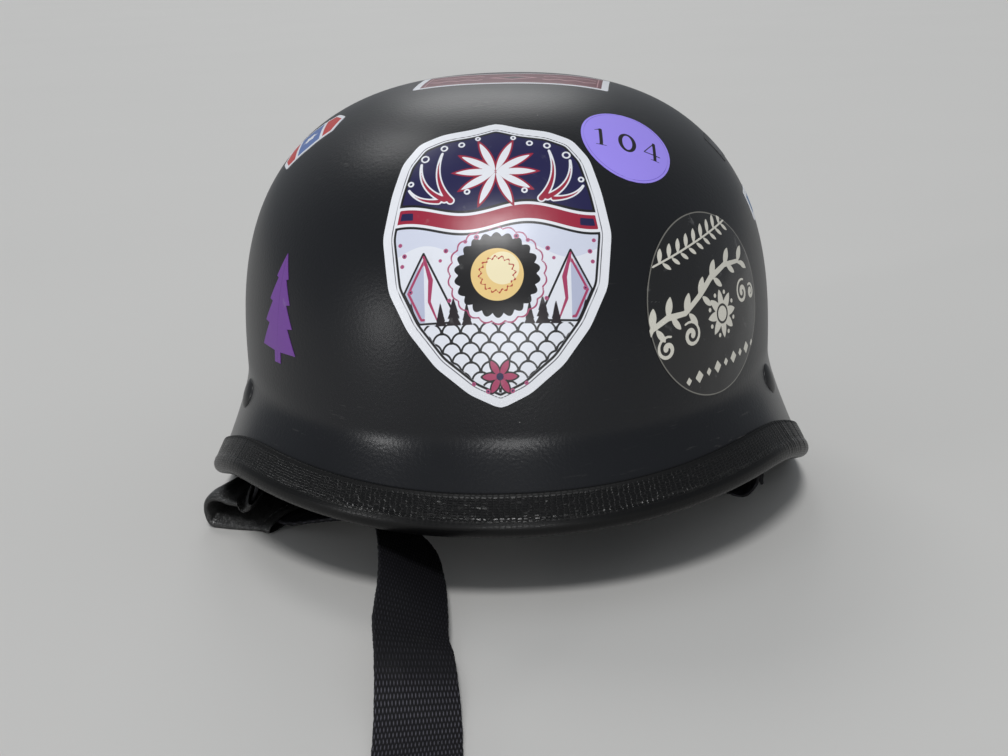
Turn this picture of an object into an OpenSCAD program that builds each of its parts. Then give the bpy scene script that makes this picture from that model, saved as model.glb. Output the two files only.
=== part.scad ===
// Motorcycle half helmet with a flared brim, wide edge trim and a double D-ring chin strap.
// The helmet stands on a table: +Z is up, the brow faces -Y, and the wearer's right side is at -X.
// The origin lies on the table under the centre of the dome.

/* [Shell] */
// Half the width of the dome at its waist
half_w = 103.8; // [95:0.1:112]
// Length of the dome from its widest place to the brow
front_len = 122; // [112:1:130]
// Length of the dome from its widest place to the nape
rear_len = 138; // [128:1:146]
// Height of the waist, where the dome ends and the flare starts
waist_z = 60; // [56:1:66]
// Height of the crown above the waist
dome_h = 104; // [94:1:112]
// Squareness of the dome seen from the front
dome_n = 2.67; // [2.2:0.01:3]
// Squareness of the dome seen from above
plan_n = 2.15; // [2:0.01:2.5]
// Thickness of the shell
wall = 3.5; // [3:0.1:4.5]
// How far the flare stands out at the brow
flare_front = 9.8; // [8:0.1:14]
// How far the flare stands out at the sides
flare_side = 14; // [12:0.5:17]
// How far the flare stands out at the nape
flare_rear = 14; // [11:0.5:18]
// Softness of the bend where the flare leaves the dome
bend = 0.25; // [0.18:0.01:0.4]

/* [Rim line] */
// Height of the rim's lowest point at the temples
temple_z = 33.8; // [32:0.1:36]
// How much lower the rim hangs at the middle of the brow
brow_dip = 6.8; // [3:0.1:9]
// Slope of the rim from the temples down to the sides
side_slope = 0.4; // [0.38:0.005:0.42]
// Place along the side where the sloping rim reaches the table
rest_y = 6.8; // [5:0.2:9]

/* [Edge trim] */
// Width of the trim's outer face
trim_face = 9; // [8:0.5:11]
// Width of the trim's inner lip
trim_lip = 8; // [6:0.5:11]
// Thickness of the trim on the outer face
trim_t = 1.6; // [1.2:0.1:2.2]
// Radius of the round bead along the edge
bead_r = 4.1; // [3.6:0.1:4.6]
// Gap between the trim and the shell
trim_gap = 0.1; // [0.05:0.05:0.3]

/* [Liner and pads] */
// Thickness of the foam liner at the sides
liner_side = 14; // [11:1:20]
// Thickness of the foam liner at the crown
liner_crown = 22; // [17:1:28]
// Gap between the liner and the shell
liner_gap = 0.3; // [0.2:0.1:0.6]
// Height of the liner's lower edge at the brow and the sides
liner_edge_z = 65; // [63:1:69]
// Height of the liner's lower edge at the nape
liner_nape_z = 44; // [40:1:52]
// Thickness of the comfort pads
pad_t = 7; // [5:0.5:10]
// Radius of the round hook patches that hold the pads
patch_r = 8; // [6:0.5:10]
// Thickness of the hook patches
patch_t = 0.9; // [0.6:0.1:1.3]

/* [Rivets and hangers] */
// Height of the rivets
rivet_z = 53; // [50:0.5:55]
// Place of the front rivets along the side
front_rivet_y = -46; // [-50:1:-42]
// Place of the rear rivets along the side
rear_rivet_y = 25; // [21:1:29]
// Radius of the rivet's domed head
rivet_head_r = 6; // [5:0.1:7]
// Height of the rivet's domed head
rivet_head_h = 2.6; // [1.5:0.1:3.2]
// Radius of the rivet's shank
rivet_r = 2.4; // [2:0.1:2.8]
// Radius of the washers
washer_r = 5.2; // [4.6:0.1:6]
// Thickness of the spacing washer
spacer_t = 1.4; // [1.2:0.1:2]
// Thickness of the burr that the rivet is clenched over
burr_t = 1; // [0.8:0.1:1.5]
// Thickness of the hanger plates
plate_t = 1.4; // [1:0.1:1.8]
// Width of the hanger plates
plate_w = 15; // [13:0.5:17]
// Length of the rolled eye of a hanger
eye_l = 14; // [11:0.5:16]
// Distance from the widest line of the dome in to the rings' pivot line
pivot_in = 9; // [8.6:0.1:9.6]
// How far the front rings sit behind the middle of their hangers
ring_back = 3.5; // [2.5:0.5:4.5]
// Height of the rings' pivot line
pivot_z = 38; // [36.5:0.1:39.5]

/* [Straps] */
// Width of the chin strap's webbing
strap_w = 26; // [22:0.5:28]
// Width of the rear legs' webbing
leg_w = 17; // [15:0.5:18]
// Thickness of the webbing
strap_t = 1.6; // [1.2:0.1:2]
// Radius of the rings' wire
wire_r = 1.8; // [1.5:0.1:2]
// Play between a wire and what turns on it
wire_play = 0.08; // [0.03:0.01:0.1]
// Play between a ring's wire and the webbing looped on it
loop_play = 0.25; // [0.15:0.05:0.5]
// Radius of the corners of the rings, at the wire's middle
corner_r = 4; // [3:0.5:5]
// Height of the front rings between their wires' middles
front_ring_h = 9; // [8:0.5:10]
// Height of the rear rings between their wires' middles
rear_ring_h = 29; // [28:0.5:30]

/* [Sleeves] */
// Width of the leatherette sleeves laid flat
sleeve_w = 37; // [33:0.5:40]
// Half the thickness of a sleeve
sleeve_half_t = 3.2; // [2.8:0.1:3.3]
// Thickness of the leatherette
sleeve_wall = 1; // [0.7:0.1:1.3]
// Height of the strap's middle where it lies on the table
lie_z = 3.4; // [3.3:0.1:4]

/* [Rings and snap] */
// Radius of the D-rings' wire
d_wire_r = 1.75; // [1.5:0.05:2]
// Length of a D-ring's straight arms
d_arm = 4; // [2:0.5:6]
// Distance from the middle of the helmet to the D-rings' bars
d_bar_x = 46; // [43:1:49]
// Distance between the two D-rings' bars
d_pitch = 4.1; // [4:0.05:4.6]
// Radius of the snap's cap
snap_r = 6.2; // [5:0.1:7.5]
// Height of the snap's cap
snap_h = 3; // [2:0.1:4]

/* [Hidden] */
$fn = 48;

around = 64;      // points round the shell
side_shift = 2.9; // turns the points at the sides back to where the rim meets the table
dome_rows = 14;   // rows of points from the waist to the crown
flare_rows = 8;   // rows of points from the waist to the rim
fine_step = 2.2;  // longest step along a strap where it curls
long_step = 5;    // longest step along a strap where it runs straighter
cut = 1;          // how far a cut runs past the solid
flat_cut = 0.9;   // how far the rim's line runs below the table, which cuts the trim flat
seam_gap = 0.3;   // gap at a fold between two lengths of one strap
loop_trim = 0.4;  // how much narrower a sewn loop is than its strap
brow_from = 60;   // where the rim starts to dip towards the brow
pivot_x = half_w - pivot_in;
ring_y = front_rivet_y + ring_back;

// Helper functions
function spow(v, e) = sign(v) * pow(abs(v), e);
function unit(v) = v / norm(v);
function mix(a, b, f) = a + (b - a) * f;
function clamp(v, lo, hi) = min(max(v, lo), hi);
function smin(a, b, r) = (a + b - sqrt((a - b) * (a - b) + r * r)) / 2;
function smax(a, b, r) = (a + b + sqrt((a - b) * (a - b) + r * r)) / 2;

// Directions of the points round the shell
function turn(i) = let (a = 360 * i / around) a + side_shift * cos(a);

// Outline of the dome seen from above, drawn in by an inset, and its outward direction
function half_len(a) = sin(a) < 0 ? front_len : rear_len;
function plan(a, inset) = [(half_w - inset) * spow(cos(a), 2 / plan_n),
    (half_len(a) - inset) * spow(sin(a), 2 / plan_n)];
function plan_out(a) = unit([spow(cos(a), 2 - 2 / plan_n) / half_w,
    spow(sin(a), 2 - 2 / plan_n) / half_len(a)]);

// Flare below the waist: f runs from 0 at the waist to 1 at the rim
function flare(a) = mix(flare_side, sin(a) < 0 ? flare_front : flare_rear, pow(sin(a), 2));
function rim_y(a) = plan(a, 0)[1] + plan_out(a)[1] * flare(a);
brow_y = front_len + flare_front;
function brow_z(y) = temple_z - brow_dip * pow(max(0, (-y - brow_from) / (brow_y - brow_from)), 2);
function rim_low(y) = smax(-flat_cut, smin(brow_z(y), side_slope * (rest_y - y), 6), 0.6);
bead_reach = bead_r + 1.9;
function drop(a) = waist_z - rim_low(rim_y(a)) - bead_reach;
bend_span = sqrt(1 + bend * bend) - bend;
function bow(f) = (sqrt(f * f + bend * bend) - bend) / bend_span;
function slope(a, f) = atan2(flare(a) * f / sqrt(f * f + bend * bend) / bend_span, drop(a));
function flare_pt(a, f, off) = let (
    s = slope(a, f),
    p = plan(a, 0) + plan_out(a) * (flare(a) * bow(f) + off * cos(s))
) [p[0], p[1], waist_z - drop(a) * f + off * sin(s)];
function flare_len(a) = sqrt(pow(flare(a), 2) + pow(drop(a), 2));
// A point at a distance up from the rim and off the outer face
function edge_pt(a, up, off) = flare_pt(a, 1 - up / flare_len(a), off);

// Dome above the waist: t runs from 0 at the waist to 90 at the crown
function dome_pt(a, t, inset, top_inset) = let (
    p = plan(a, inset) * spow(cos(t), 2 / dome_n)
) [p[0], p[1], waist_z + (dome_h - top_inset) * spow(sin(t), 2 / dome_n)];
function dome_t(k) = 90 * pow(k / dome_rows, 1.4);

function middle(ring) = [for (i = [0 : len(ring) - 1]) 1] * ring / len(ring);

// Faces of a closed body from rings of points, with a pole at each end or closed round
function quads(rows, n, shift = 0) = [for (r = [0 : rows - 2], i = [0 : n - 1]) each
    [[shift + r * n + i, shift + r * n + (i + 1) % n, shift + (r + 1) * n + (i + 1) % n],
     [shift + r * n + i, shift + (r + 1) * n + (i + 1) % n, shift + (r + 1) * n + i]]];
module poled_body(rings, first_pole, last_pole) {
    n = len(rings[0]);
    rows = len(rings);
    points = concat([for (r = rings) each r], [first_pole, last_pole]);
    faces = concat(quads(rows, n),
        [for (i = [0 : n - 1]) [rows * n, (i + 1) % n, i]],
        [for (i = [0 : n - 1]) [rows * n + 1, (rows - 1) * n + i, (rows - 1) * n + (i + 1) % n]]);
    polyhedron(points, faces, convexity = 8);
}
module round_body(rings) {
    n = len(rings[0]);
    rows = len(rings);
    points = [for (r = rings) each r];
    faces = [for (r = [0 : rows - 1], i = [0 : n - 1]) each
        [[r * n + i, r * n + (i + 1) % n, ((r + 1) % rows) * n + (i + 1) % n],
         [r * n + i, ((r + 1) % rows) * n + (i + 1) % n, ((r + 1) % rows) * n + i]]];
    polyhedron(points, faces, convexity = 8);
}
module capped_body(rings) {
    last = rings[len(rings) - 1];
    poled_body(rings, middle(rings[0]), middle(last));
}

// Smooth curve through points chosen by hand, in steps no longer than a given one
function pick(p, i) = p[clamp(i, 0, len(p) - 1)];
function parts(p, i, step) = ceil(norm(p[i + 1] - p[i]) / step);
function lean(p, i) = let (
    a = p[i] - pick(p, i - 1), b = pick(p, i + 1) - p[i], m = norm(a), n = norm(b)
) m == 0 ? b / n : n == 0 ? a / m : (a / m * n + b / n * m) / (m + n);
function curve(p, step) = concat([for (i = [0 : len(p) - 2]) let (
    n = parts(p, i, step), c = norm(p[i + 1] - p[i]), a = lean(p, i) * c, b = lean(p, i + 1) * c
) for (k = [0 : n - 1]) let (f = k / n, g = 1 - f)
    p[i] * g * g * (1 + 2 * f) + p[i + 1] * f * f * (1 + 2 * g) + a * f * g * g - b * f * f * g
], [p[len(p) - 1]]);
// Width directions spread over the same steps
function spread(p, w, step) = concat([for (i = [0 : len(p) - 2]) let (n = parts(p, i, step))
    for (k = [0 : n - 1]) mix(w[i], w[i + 1], k / n)], [w[len(w) - 1]]);
function along(p, i) = unit(pick(p, i + 1) - pick(p, i - 1));
// Frame at a point of a strap: its width's direction and its face's direction
function wide(p, w, i) = let (t = along(p, i)) unit(w[i] - t * (w[i] * t));
function face(p, w, i) = cross(along(p, i), wide(p, w, i));

// Flat webbing along a curve, with a width, and a thickness for each point
module ribbon(p, w, width, thick) {
    capped_body([for (i = [0 : len(p) - 1]) let (
        x = wide(p, w, i) * width / 2,
        z = face(p, w, i) * thick[i] / 2
    ) [p[i] - x - z, p[i] - x + z, p[i] + x + z, p[i] + x - z]]);
}

// Shell
function shell_ring(inset, t) = [for (i = [0 : around - 1]) dome_pt(turn(i), t, inset, inset)];
module shell_body() {
    outer = concat(
        [for (k = [dome_rows - 1 : -1 : 0]) shell_ring(0, dome_t(k))],
        [for (k = [1 : flare_rows]) [for (i = [0 : around - 1])
            flare_pt(turn(i), k / flare_rows, 0)]]);
    inner = concat(
        [for (k = [flare_rows : -1 : 1]) [for (i = [0 : around - 1])
            flare_pt(turn(i), k / flare_rows, -wall)]],
        [for (k = [0 : dome_rows - 1]) shell_ring(wall, dome_t(k))]);
    poled_body(concat(outer, inner), [0, 0, waist_z + dome_h], [0, 0, waist_z + dome_h - wall]);
}

// Frame of a rivet: its x axis points straight out of the shell at the rivet's place
function side_a(y) = asin(pow(abs(y) / (y < 0 ? front_len : rear_len), plan_n / 2)) * sign(y);
function rivet_a(side, y) = side > 0 ? side_a(y) : 180 - side_a(y);
function rivet_f(side, y) = (waist_z - rivet_z) / drop(rivet_a(side, y));
module at_rivet(side, y) {
    a = rivet_a(side, y);
    f = rivet_f(side, y);
    out = plan_out(a);
    translate(flare_pt(a, f, 0))
    rotate([0, -slope(a, f), atan2(out[1], out[0])])
        children();
}
module each_rivet() {
    for (side = [-1, 1], y = [front_rivet_y, rear_rivet_y])
        at_rivet(side, y) rotate([0, 90, 0]) children();
}
rivet_bore_r = rivet_r + 0.05;
stack_t = wall + spacer_t + plate_t + burr_t;
// Play of the flat head and of the flat spacer on the curved shell
head_seat = 0.7;
spacer_seat = 0.4;

module shell() {
    color([0.17, 0.17, 0.175])
    difference() {
        shell_body();
        each_rivet() translate([0, 0, -wall - 6]) cylinder(r = rivet_bore_r, h = wall + 12);
    }
}

module strap_rivets() {
    color([0.1, 0.1, 0.1])
    each_rivet() {
        cap_r = (rivet_head_r * rivet_head_r + rivet_head_h * rivet_head_h) / (2 * rivet_head_h);
        translate([0, 0, head_seat])
        intersection() {
            translate([0, 0, rivet_head_h - cap_r]) sphere(r = cap_r);
            cylinder(r = rivet_head_r + cut, h = rivet_head_h + cut);
        }
        translate([0, 0, -stack_t - 0.2]) cylinder(r = rivet_r, h = stack_t + head_seat + 0.3);
        translate([0, 0, -stack_t - 1.2]) cylinder(r = rivet_r + 1, h = 1.1);
    }
}

module washer(r, t) {
    difference() {
        cylinder(r = r, h = t);
        translate([0, 0, -cut]) cylinder(r = rivet_bore_r, h = t + 2 * cut);
    }
}

module rivet_spacers() {
    color([0.35, 0.35, 0.36])
    each_rivet() translate([0, 0, -wall - spacer_t]) washer(washer_r, spacer_t - spacer_seat);
}

module rivet_burrs() {
    color([0.6, 0.6, 0.6])
    each_rivet() translate([0, 0, -stack_t]) washer(washer_r, burr_t);
}

// Hanger: a riveted plate whose lower end is rolled into an eye on the pivot line
module plate_edge(length) {
    rotate([90, 0, 0]) cylinder(r = plate_t / 2 - 0.05, h = length, center = true, $fn = 20);
}
module hanger(side, y) {
    eye_r = wire_r + wire_play + plate_t;
    plate_x = -wall - spacer_t - plate_t;
    straight = washer_r + 2.8;
    color([0.3, 0.3, 0.31])
    difference() {
        union() {
            at_rivet(side, y) translate([plate_x, 0, 0]) {
                rotate([0, 90, 0]) cylinder(r = plate_w / 2, h = plate_t);
                translate([0, -plate_w / 2, -straight]) cube([plate_t, plate_w, straight]);
            }
            hull() {
                at_rivet(side, y) translate([plate_x + plate_t / 2, 0, -straight])
                    plate_edge(plate_w - 0.2);
                translate([side * pivot_x, y, pivot_z + eye_r - plate_t / 2]) plate_edge(eye_l - 0.2);
            }
            translate([side * pivot_x, y - eye_l / 2, pivot_z])
                rotate([-90, 0, 0]) cylinder(r = eye_r, h = eye_l);
        }
        at_rivet(side, y) translate([plate_x - 3, 0, 0])
            rotate([0, 90, 0]) cylinder(r = rivet_bore_r, h = plate_t + 6);
        translate([side * pivot_x, y - eye_l / 2 - cut, pivot_z])
            rotate([-90, 0, 0]) cylinder(r = wire_r + wire_play, h = eye_l + 2 * cut);
    }
}
module right_front_hanger() { hanger(-1, front_rivet_y); }
module right_rear_hanger() { hanger(-1, rear_rivet_y); }
module left_front_hanger() { hanger(1, front_rivet_y); }
module left_rear_hanger() { hanger(1, rear_rivet_y); }

// Ring of round wire in the plane of y and z: its top bar lies on the x axis's plane
module corner(r) {
    rotate_extrude(angle = 90) translate([corner_r, 0]) circle(r = r);
}
module wire_ring(width, height) {
    for (m = [0, 1]) mirror([0, m, 0]) {
        translate([0, width / 2, corner_r - height]) cylinder(r = wire_r, h = height - 2 * corner_r);
        translate([0, width / 2 - corner_r, -corner_r]) rotate([0, -90, 0]) corner(wire_r);
        translate([0, width / 2 - corner_r, corner_r - height]) rotate([0, 90, 0]) corner(wire_r);
    }
    for (z = [0, -height]) translate([0, corner_r - width / 2, z])
        rotate([-90, 0, 0]) cylinder(r = wire_r, h = width - 2 * corner_r);
}
front_ring_w = strap_w + 2 * corner_r - 2;
rear_ring_w = 2 * corner_r + eye_l + 3;
module front_ring(side) {
    color([0.3, 0.3, 0.31])
    translate([side * pivot_x, ring_y, pivot_z]) wire_ring(front_ring_w, front_ring_h);
}
module rear_ring(side) {
    color([0.3, 0.3, 0.31])
    translate([side * pivot_x, rear_rivet_y, pivot_z]) wire_ring(rear_ring_w, rear_ring_h);
}
module right_front_ring() { front_ring(-1); }
module right_rear_ring() { rear_ring(-1); }
module left_front_ring() { front_ring(1); }
module left_rear_ring() { rear_ring(1); }

// Webbing looped round a wire that runs along z
module web_loop(r, width) {
    difference() {
        cylinder(r = r + loop_play + strap_t, h = width, center = true);
        cylinder(r = r + loop_play, h = width + 2 * cut, center = true);
    }
}
loop_in = wire_r + loop_play;

// Edge trim: its section is listed as distance up from the rim and off the outer face
bead_up = -1;
bead_off = -wall / 2;
lip_t = 1.1;
trim_section = concat(
    [[trim_face, trim_gap], [trim_face, trim_t - 0.5], [trim_face - 0.7, trim_t],
     [trim_face / 2, trim_t + 0.15], [2, bead_off + bead_r - 0.2]],
    [for (a = [0 : 36 : 180]) [bead_up - bead_r * sin(a), bead_off + bead_r * cos(a)]],
    [[2, bead_off - bead_r + 0.3], [trim_lip, -wall - trim_gap - lip_t],
     [trim_lip, -wall - trim_gap], [trim_lip / 2, -wall - trim_gap],
     [-trim_gap, -wall - trim_gap], [-trim_gap, trim_gap], [trim_face / 2, trim_gap]]);
module edge_trim() {
    color([0.12, 0.12, 0.125])
    difference() {
        round_body([for (i = [0 : around - 1])
            [for (k = [len(trim_section) - 1 : -1 : 0]) let (s = trim_section[k])
                edge_pt(turn(i), s[0], s[1])]]);
        translate([0, 0, -10]) cube([500, 600, 20], center = true);
    }
}

// Foam liner
liner_rows = 9;
liner_outer = wall + liner_gap;
function liner_z(a) = mix(liner_nape_z, liner_edge_z,
    clamp((110 - plan(a, 0)[1]) / 60, 0, 1));
function liner_pt(a, inset, top, z) = let (
    k = pow(max(0, 1 - pow(clamp((z - waist_z) / top, 0, 1), dome_n)), 1 / dome_n),
    p = plan(a, inset) * k
) [p[0], p[1], z];
function liner_row(row, inset, top, lift) = [for (i = [0 : around - 1]) let (
    a = turn(i), lo = liner_z(a) + lift, t = 90 * pow(row / liner_rows, 1.3)
) liner_pt(a, inset, top, lo + (waist_z + top - lo) * spow(sin(t), 2 / dome_n))];
liner_in = liner_outer + liner_side;
liner_round = 3;
liner_top_out = dome_h - liner_outer;
liner_top_in = dome_h - liner_outer - liner_crown;
module impact_liner() {
    color([0.08, 0.08, 0.085])
    poled_body(concat(
        [for (k = [liner_rows - 1 : -1 : 0]) liner_row(k, liner_outer, liner_top_out, 0)],
        [liner_row(0, liner_outer + liner_round, liner_top_out - liner_round, -liner_round)],
        [liner_row(0, liner_in - liner_round, liner_top_in + liner_round, -liner_round)],
        [for (k = [0 : liner_rows - 1]) liner_row(k, liner_in, liner_top_in, 0)]),
        [0, 0, waist_z + liner_top_out], [0, 0, waist_z + liner_top_in]);
}

// Pads on the liner's inner face: u runs along the pad and v up it
patch_gap = 0.85;
pad_gap = patch_gap + patch_t + 0.55;
function pad_face(a, z, depth) = liner_pt(a, liner_in + depth, liner_top_in - depth, z);
function swell(u) = pow(max(0, 1 - pow(abs(2 * u - 1), 6)), 0.5);
function pad_depth(u, v, channels) = pad_gap + 1.5 + (pad_t - 1.5) * swell(u) * swell(v)
    * (1 - 0.22 * pow(abs(cos(180 * channels * u)), 8));
module wall_pad(a0, a1, lo, hi, channels) {
    nu = 5 * channels + 2;
    nv = 6;
    color([0.09, 0.09, 0.1])
    capped_body([for (i = [0 : nu]) let (u = i / nu, a = mix(a0, a1, u)) concat(
        [for (j = [0 : nv]) let (v = j / nv, z = liner_z(a) + mix(lo, hi, v))
            pad_face(a, z, pad_gap)],
        [for (j = [nv : -1 : 0]) let (v = j / nv, z = liner_z(a) + mix(lo, hi, v))
            pad_face(a, z, pad_depth(u, v, channels))])]);
}
brow_mid = 270;       // direction of the brow
nape_mid = 90;        // direction of the nape
pad_reach = 38;       // how far the brow and nape pads reach to each side
temple_front = 42;    // how far the temple pads reach forward
temple_back = 38;     // how far the temple pads reach back
pad_lift = 3;         // height of the pads' lower edges above the liner's
brow_pad_top = 33;    // height of the brow pad's upper edge above the liner's lower edge
side_pad_top = 36;    // height of the other pads' upper edges above the liner's lower edge
module brow_pad() {
    wall_pad(brow_mid - pad_reach, brow_mid + pad_reach, pad_lift, brow_pad_top, 5);
}
module nape_pad() {
    wall_pad(nape_mid - pad_reach, nape_mid + pad_reach, pad_lift, side_pad_top, 5);
}
module right_temple_pad() {
    wall_pad(180 - temple_back, 180 + temple_front, pad_lift, side_pad_top, 4);
}
module left_temple_pad() { wall_pad(-temple_front, temple_back, pad_lift, side_pad_top, 4); }

// Crown pad: a round quilted cushion under the top of the liner
crown_reach = 38;
module crown_pad() {
    rows = 8;
    n = 40;
    function crown_pt(i, r, depth) = let (
        a = 360 * i / n, t = 90 - crown_reach * r
    ) dome_pt(a, t, liner_in + depth, dome_h - liner_top_in + depth);
    function crown_depth(i, r) = pad_gap + 1.5 + (pad_t - 1.5) * swell(0.5 + r / 2)
        * (1 - 0.2 * pow(abs(cos(540 * i / n)), 8) * r) * (1 - 0.15 * pow(abs(cos(270 * r)), 8));
    color([0.09, 0.09, 0.1])
    poled_body(concat(
        [for (k = [1 : rows]) [for (i = [0 : n - 1]) crown_pt(i, k / rows, pad_gap)]],
        [for (k = [rows : -1 : 1]) [for (i = [0 : n - 1]) crown_pt(i, k / rows, crown_depth(i, k / rows))]]),
        [0, 0, waist_z + liner_top_in - pad_gap], [0, 0, waist_z + liner_top_in - pad_gap - pad_t]);
}

// Hook patches between the liner and the pads
module patch(a, z) {
    p = pad_face(a, z, patch_gap);
    up = pad_face(a, z + 1, patch_gap);
    out = plan_out(a);
    tilt = atan2(norm([p[0], p[1]]) - norm([up[0], up[1]]), 1);
    translate(p) rotate([0, -tilt, atan2(out[1], out[0])]) rotate([0, -90, 0])
        cylinder(r = patch_r, h = patch_t);
}
patch_z = 18;         // height of the patches above the liner's lower edge
patch_apart = 20;     // how far the patches sit from the middles of the pads
module pad_patches() {
    color([0.05, 0.05, 0.05]) {
        for (mid = [0, nape_mid, 180, brow_mid], side = [-1, 1])
            let (a = mid + side * patch_apart) patch(a, liner_z(a) + patch_z);
        translate([0, 0, waist_z + liner_top_in - patch_gap - patch_t])
            cylinder(r = patch_r * 1.5, h = patch_t);
    }
}

// Right strap: it hangs from its front ring, curls outward, rolls over on the table under the
// brim and comes back to the sleeve's mouth
loop_low = pivot_z - front_ring_h;
strap_top = loop_low - loop_in - strap_t / 2;
roll_r = 3.6;
roll_at = [-half_w - 5.9, ring_y + 7.6];
roll_out = unit([-0.945, 0.33, 0]);
function roll_wide(f) = [0.33, 0.945, -0.08 * (1 - f)];
mouth = [-half_w + 21.8, ring_y - 3.5, lie_z];
mouth_wide = unit([0.6, 0.8, 0]);
fold_back = seam_gap + strap_t / 2;
function before_mouth(d) = mouth + cross([0, 0, 1], mouth_wide) * d;
curl_x = -pivot_x - 3.4;
curl_r = 4.6;
upper_z = lie_z + 2 * roll_r;
right_points = concat(
    [[-pivot_x, ring_y, strap_top], [-pivot_x, ring_y, strap_top - 1.6],
     [-pivot_x - 1.6, ring_y + 0.8, 20.4], [curl_x, ring_y + 2.6, upper_z + curl_r],
     [curl_x - curl_r * 0.3, ring_y + 3.9, upper_z + curl_r * 0.3],
     [curl_x - curl_r, ring_y + 4.9, upper_z], [curl_x - curl_r - 2.6, ring_y + 6, upper_z]],
    [for (i = [0 : 4]) let (a = 105 + 40 * i)
        [roll_at[0], roll_at[1], lie_z + roll_r + roll_r * sin(a)] - roll_out * roll_r * cos(a)],
    [[roll_at[0] + 4, roll_at[1] - 1.4, lie_z], before_mouth(13) + [-0.5, -1.3, 0],
     before_mouth(fold_back + 6), before_mouth(fold_back + 1.5), before_mouth(fold_back)]);
right_wide = concat([[0, 1, 0], [0, 1, 0], [0, 1, 0], [0.08, 1, 0.1], [0.18, 0.97, 0.05],
    [0.3, 0.95, -0.04], [0.33, 0.945, -0.08]], [for (i = [0 : 4]) roll_wide(i / 4)],
    [roll_wide(1), [0.42, 0.91, 0], [0.57, 0.82, 0], mouth_wide, mouth_wide]);
right_path = curve(right_points, fine_step);
right_dirs = spread(right_points, right_wide, fine_step);
module right_strap() {
    color([0.07, 0.07, 0.075]) {
        ribbon(right_path, right_dirs, strap_w, [for (i = right_path) strap_t]);
        translate([-pivot_x, ring_y, loop_low]) rotate([90, 0, 0]) web_loop(wire_r, strap_w - loop_trim);
    }
}

// Sleeve: a flat leatherette tube on the strap, with a turned hem at each end
sleeve_n = 12;
function sleeve_loop(p, w, i, across, thick) = [for (k = [sleeve_n - 1 : -1 : 0]) let (
    a = 360 * k / sleeve_n
) p[i] + wide(p, w, i) * across * spow(cos(a), 0.8) + face(p, w, i) * thick * spow(sin(a), 0.8)];
function hem(k, last) = (k < 2 || k > last - 2) ? 0.25 : 0;
function ripple(k) = 0.3 * pow(sin(130 * k), 2);
module sleeve(p, w, first, last) {
    n = last - first;
    outer = [for (k = [0 : n]) sleeve_loop(p, w, first + k,
        sleeve_w / 2 - ripple(k) * 2, sleeve_half_t - 0.3 - ripple(k) + hem(k, n))];
    inner = [for (k = [n : -1 : 0]) sleeve_loop(p, w, first + k,
        sleeve_w / 2 - sleeve_wall - ripple(k) * 2,
        sleeve_half_t - 0.3 - sleeve_wall - ripple(k) + hem(k, n))];
    color([0.13, 0.12, 0.12]) round_body(concat(outer, inner));
}
module right_sleeve() { sleeve(right_path, right_dirs, 6, len(right_path) - 2); }

// Rear leg: it hangs between the rear ring's front bar and the strap, on edge
leg_bar_y = rear_rivet_y - rear_ring_w / 2;
leg_start_y = leg_bar_y - loop_in - strap_t / 2;
leg_end_y = ring_y + 0.5;
leg_z = pivot_z - rear_ring_h / 2;
leg_end_z = strap_top - 1.3 - leg_w / 2;
right_aside = strap_t + 0.6;
left_aside = strap_t + 1.8;
module rear_leg(side, leg_aside) {
    near = side * pivot_x;
    path = curve([[near, leg_start_y, leg_z], [near, leg_start_y - 1.6, leg_z],
        [near + leg_aside * 0.3, leg_start_y - 18, leg_z - 1.6],
        [near + leg_aside, ring_y + strap_w / 2 + 8, leg_end_z + 2.2],
        [near + leg_aside, ring_y + strap_w / 2 - 1, leg_end_z + 0.3],
        [near + leg_aside, leg_end_y, leg_end_z]], long_step);
    color([0.07, 0.07, 0.075]) {
        ribbon(path, [for (i = path) [0, 0, 1]], leg_w, [for (i = path) strap_t]);
        translate([near, leg_bar_y, leg_z]) web_loop(wire_r, leg_w - loop_trim);
    }
}
module right_rear_leg() { rear_leg(-1, right_aside); }
module left_rear_leg() { rear_leg(1, left_aside); }

// Tail: from the sleeve's mouth out under the brim, over a crease and along the table
crease = [-30.4, -172, 11];
crease_wide = unit([1, 0.16, 0]);
function past_mouth(d) = mouth - cross([0, 0, 1], mouth_wide) * d;
function past_crease(d) = crease - cross([0, 0, 1], crease_wide) * d;
tail_points = [mouth, past_mouth(2), [-64.5, -59, 6], [-48.5, -75, 10], [-38.1, -97, 13.5],
    [-34, -120, 13.4], [-31.9, -146, 13], past_crease(-fold_back - 2), past_crease(-fold_back)];
tail_wide = [mouth_wide, mouth_wide, [0.72, 0.68, -0.2], [0.76, 0.4, -0.45], [0.79, 0.15, -0.6],
    [0.8, 0.15, -0.58], [0.85, 0.15, -0.5], [0.98, 0.16, -0.1], crease_wide];
tail_path = curve(tail_points, long_step);
tail_dirs = spread(tail_points, tail_wide, long_step);
module fold_edge(p, w) {
    translate(p) rotate([0, 90, atan2(w[1], w[0])])
        cylinder(r = strap_t / 2 - 0.05, h = strap_w - loop_trim, center = true);
}
module tail_strap_upper() {
    color([0.07, 0.07, 0.075]) {
        ribbon(tail_path, tail_dirs, strap_w, [for (i = tail_path) strap_t]);
        fold_edge(mouth, mouth_wide);
    }
}
lower_points = [crease, past_crease(2), [-28.2, -190, 7], [-26.9, -208, 2.6], [-26, -228, 1.3],
    [-23.8, -252, 1.1], [-21.8, -278, 1.1]];
lower_path = curve(lower_points, long_step);
module tail_strap_lower() {
    color([0.07, 0.07, 0.075]) {
        ribbon(lower_path, [for (i = lower_path) crease_wide], strap_w, [for (i = lower_path) strap_t]);
        fold_edge(crease, crease_wide);
    }
}
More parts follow.
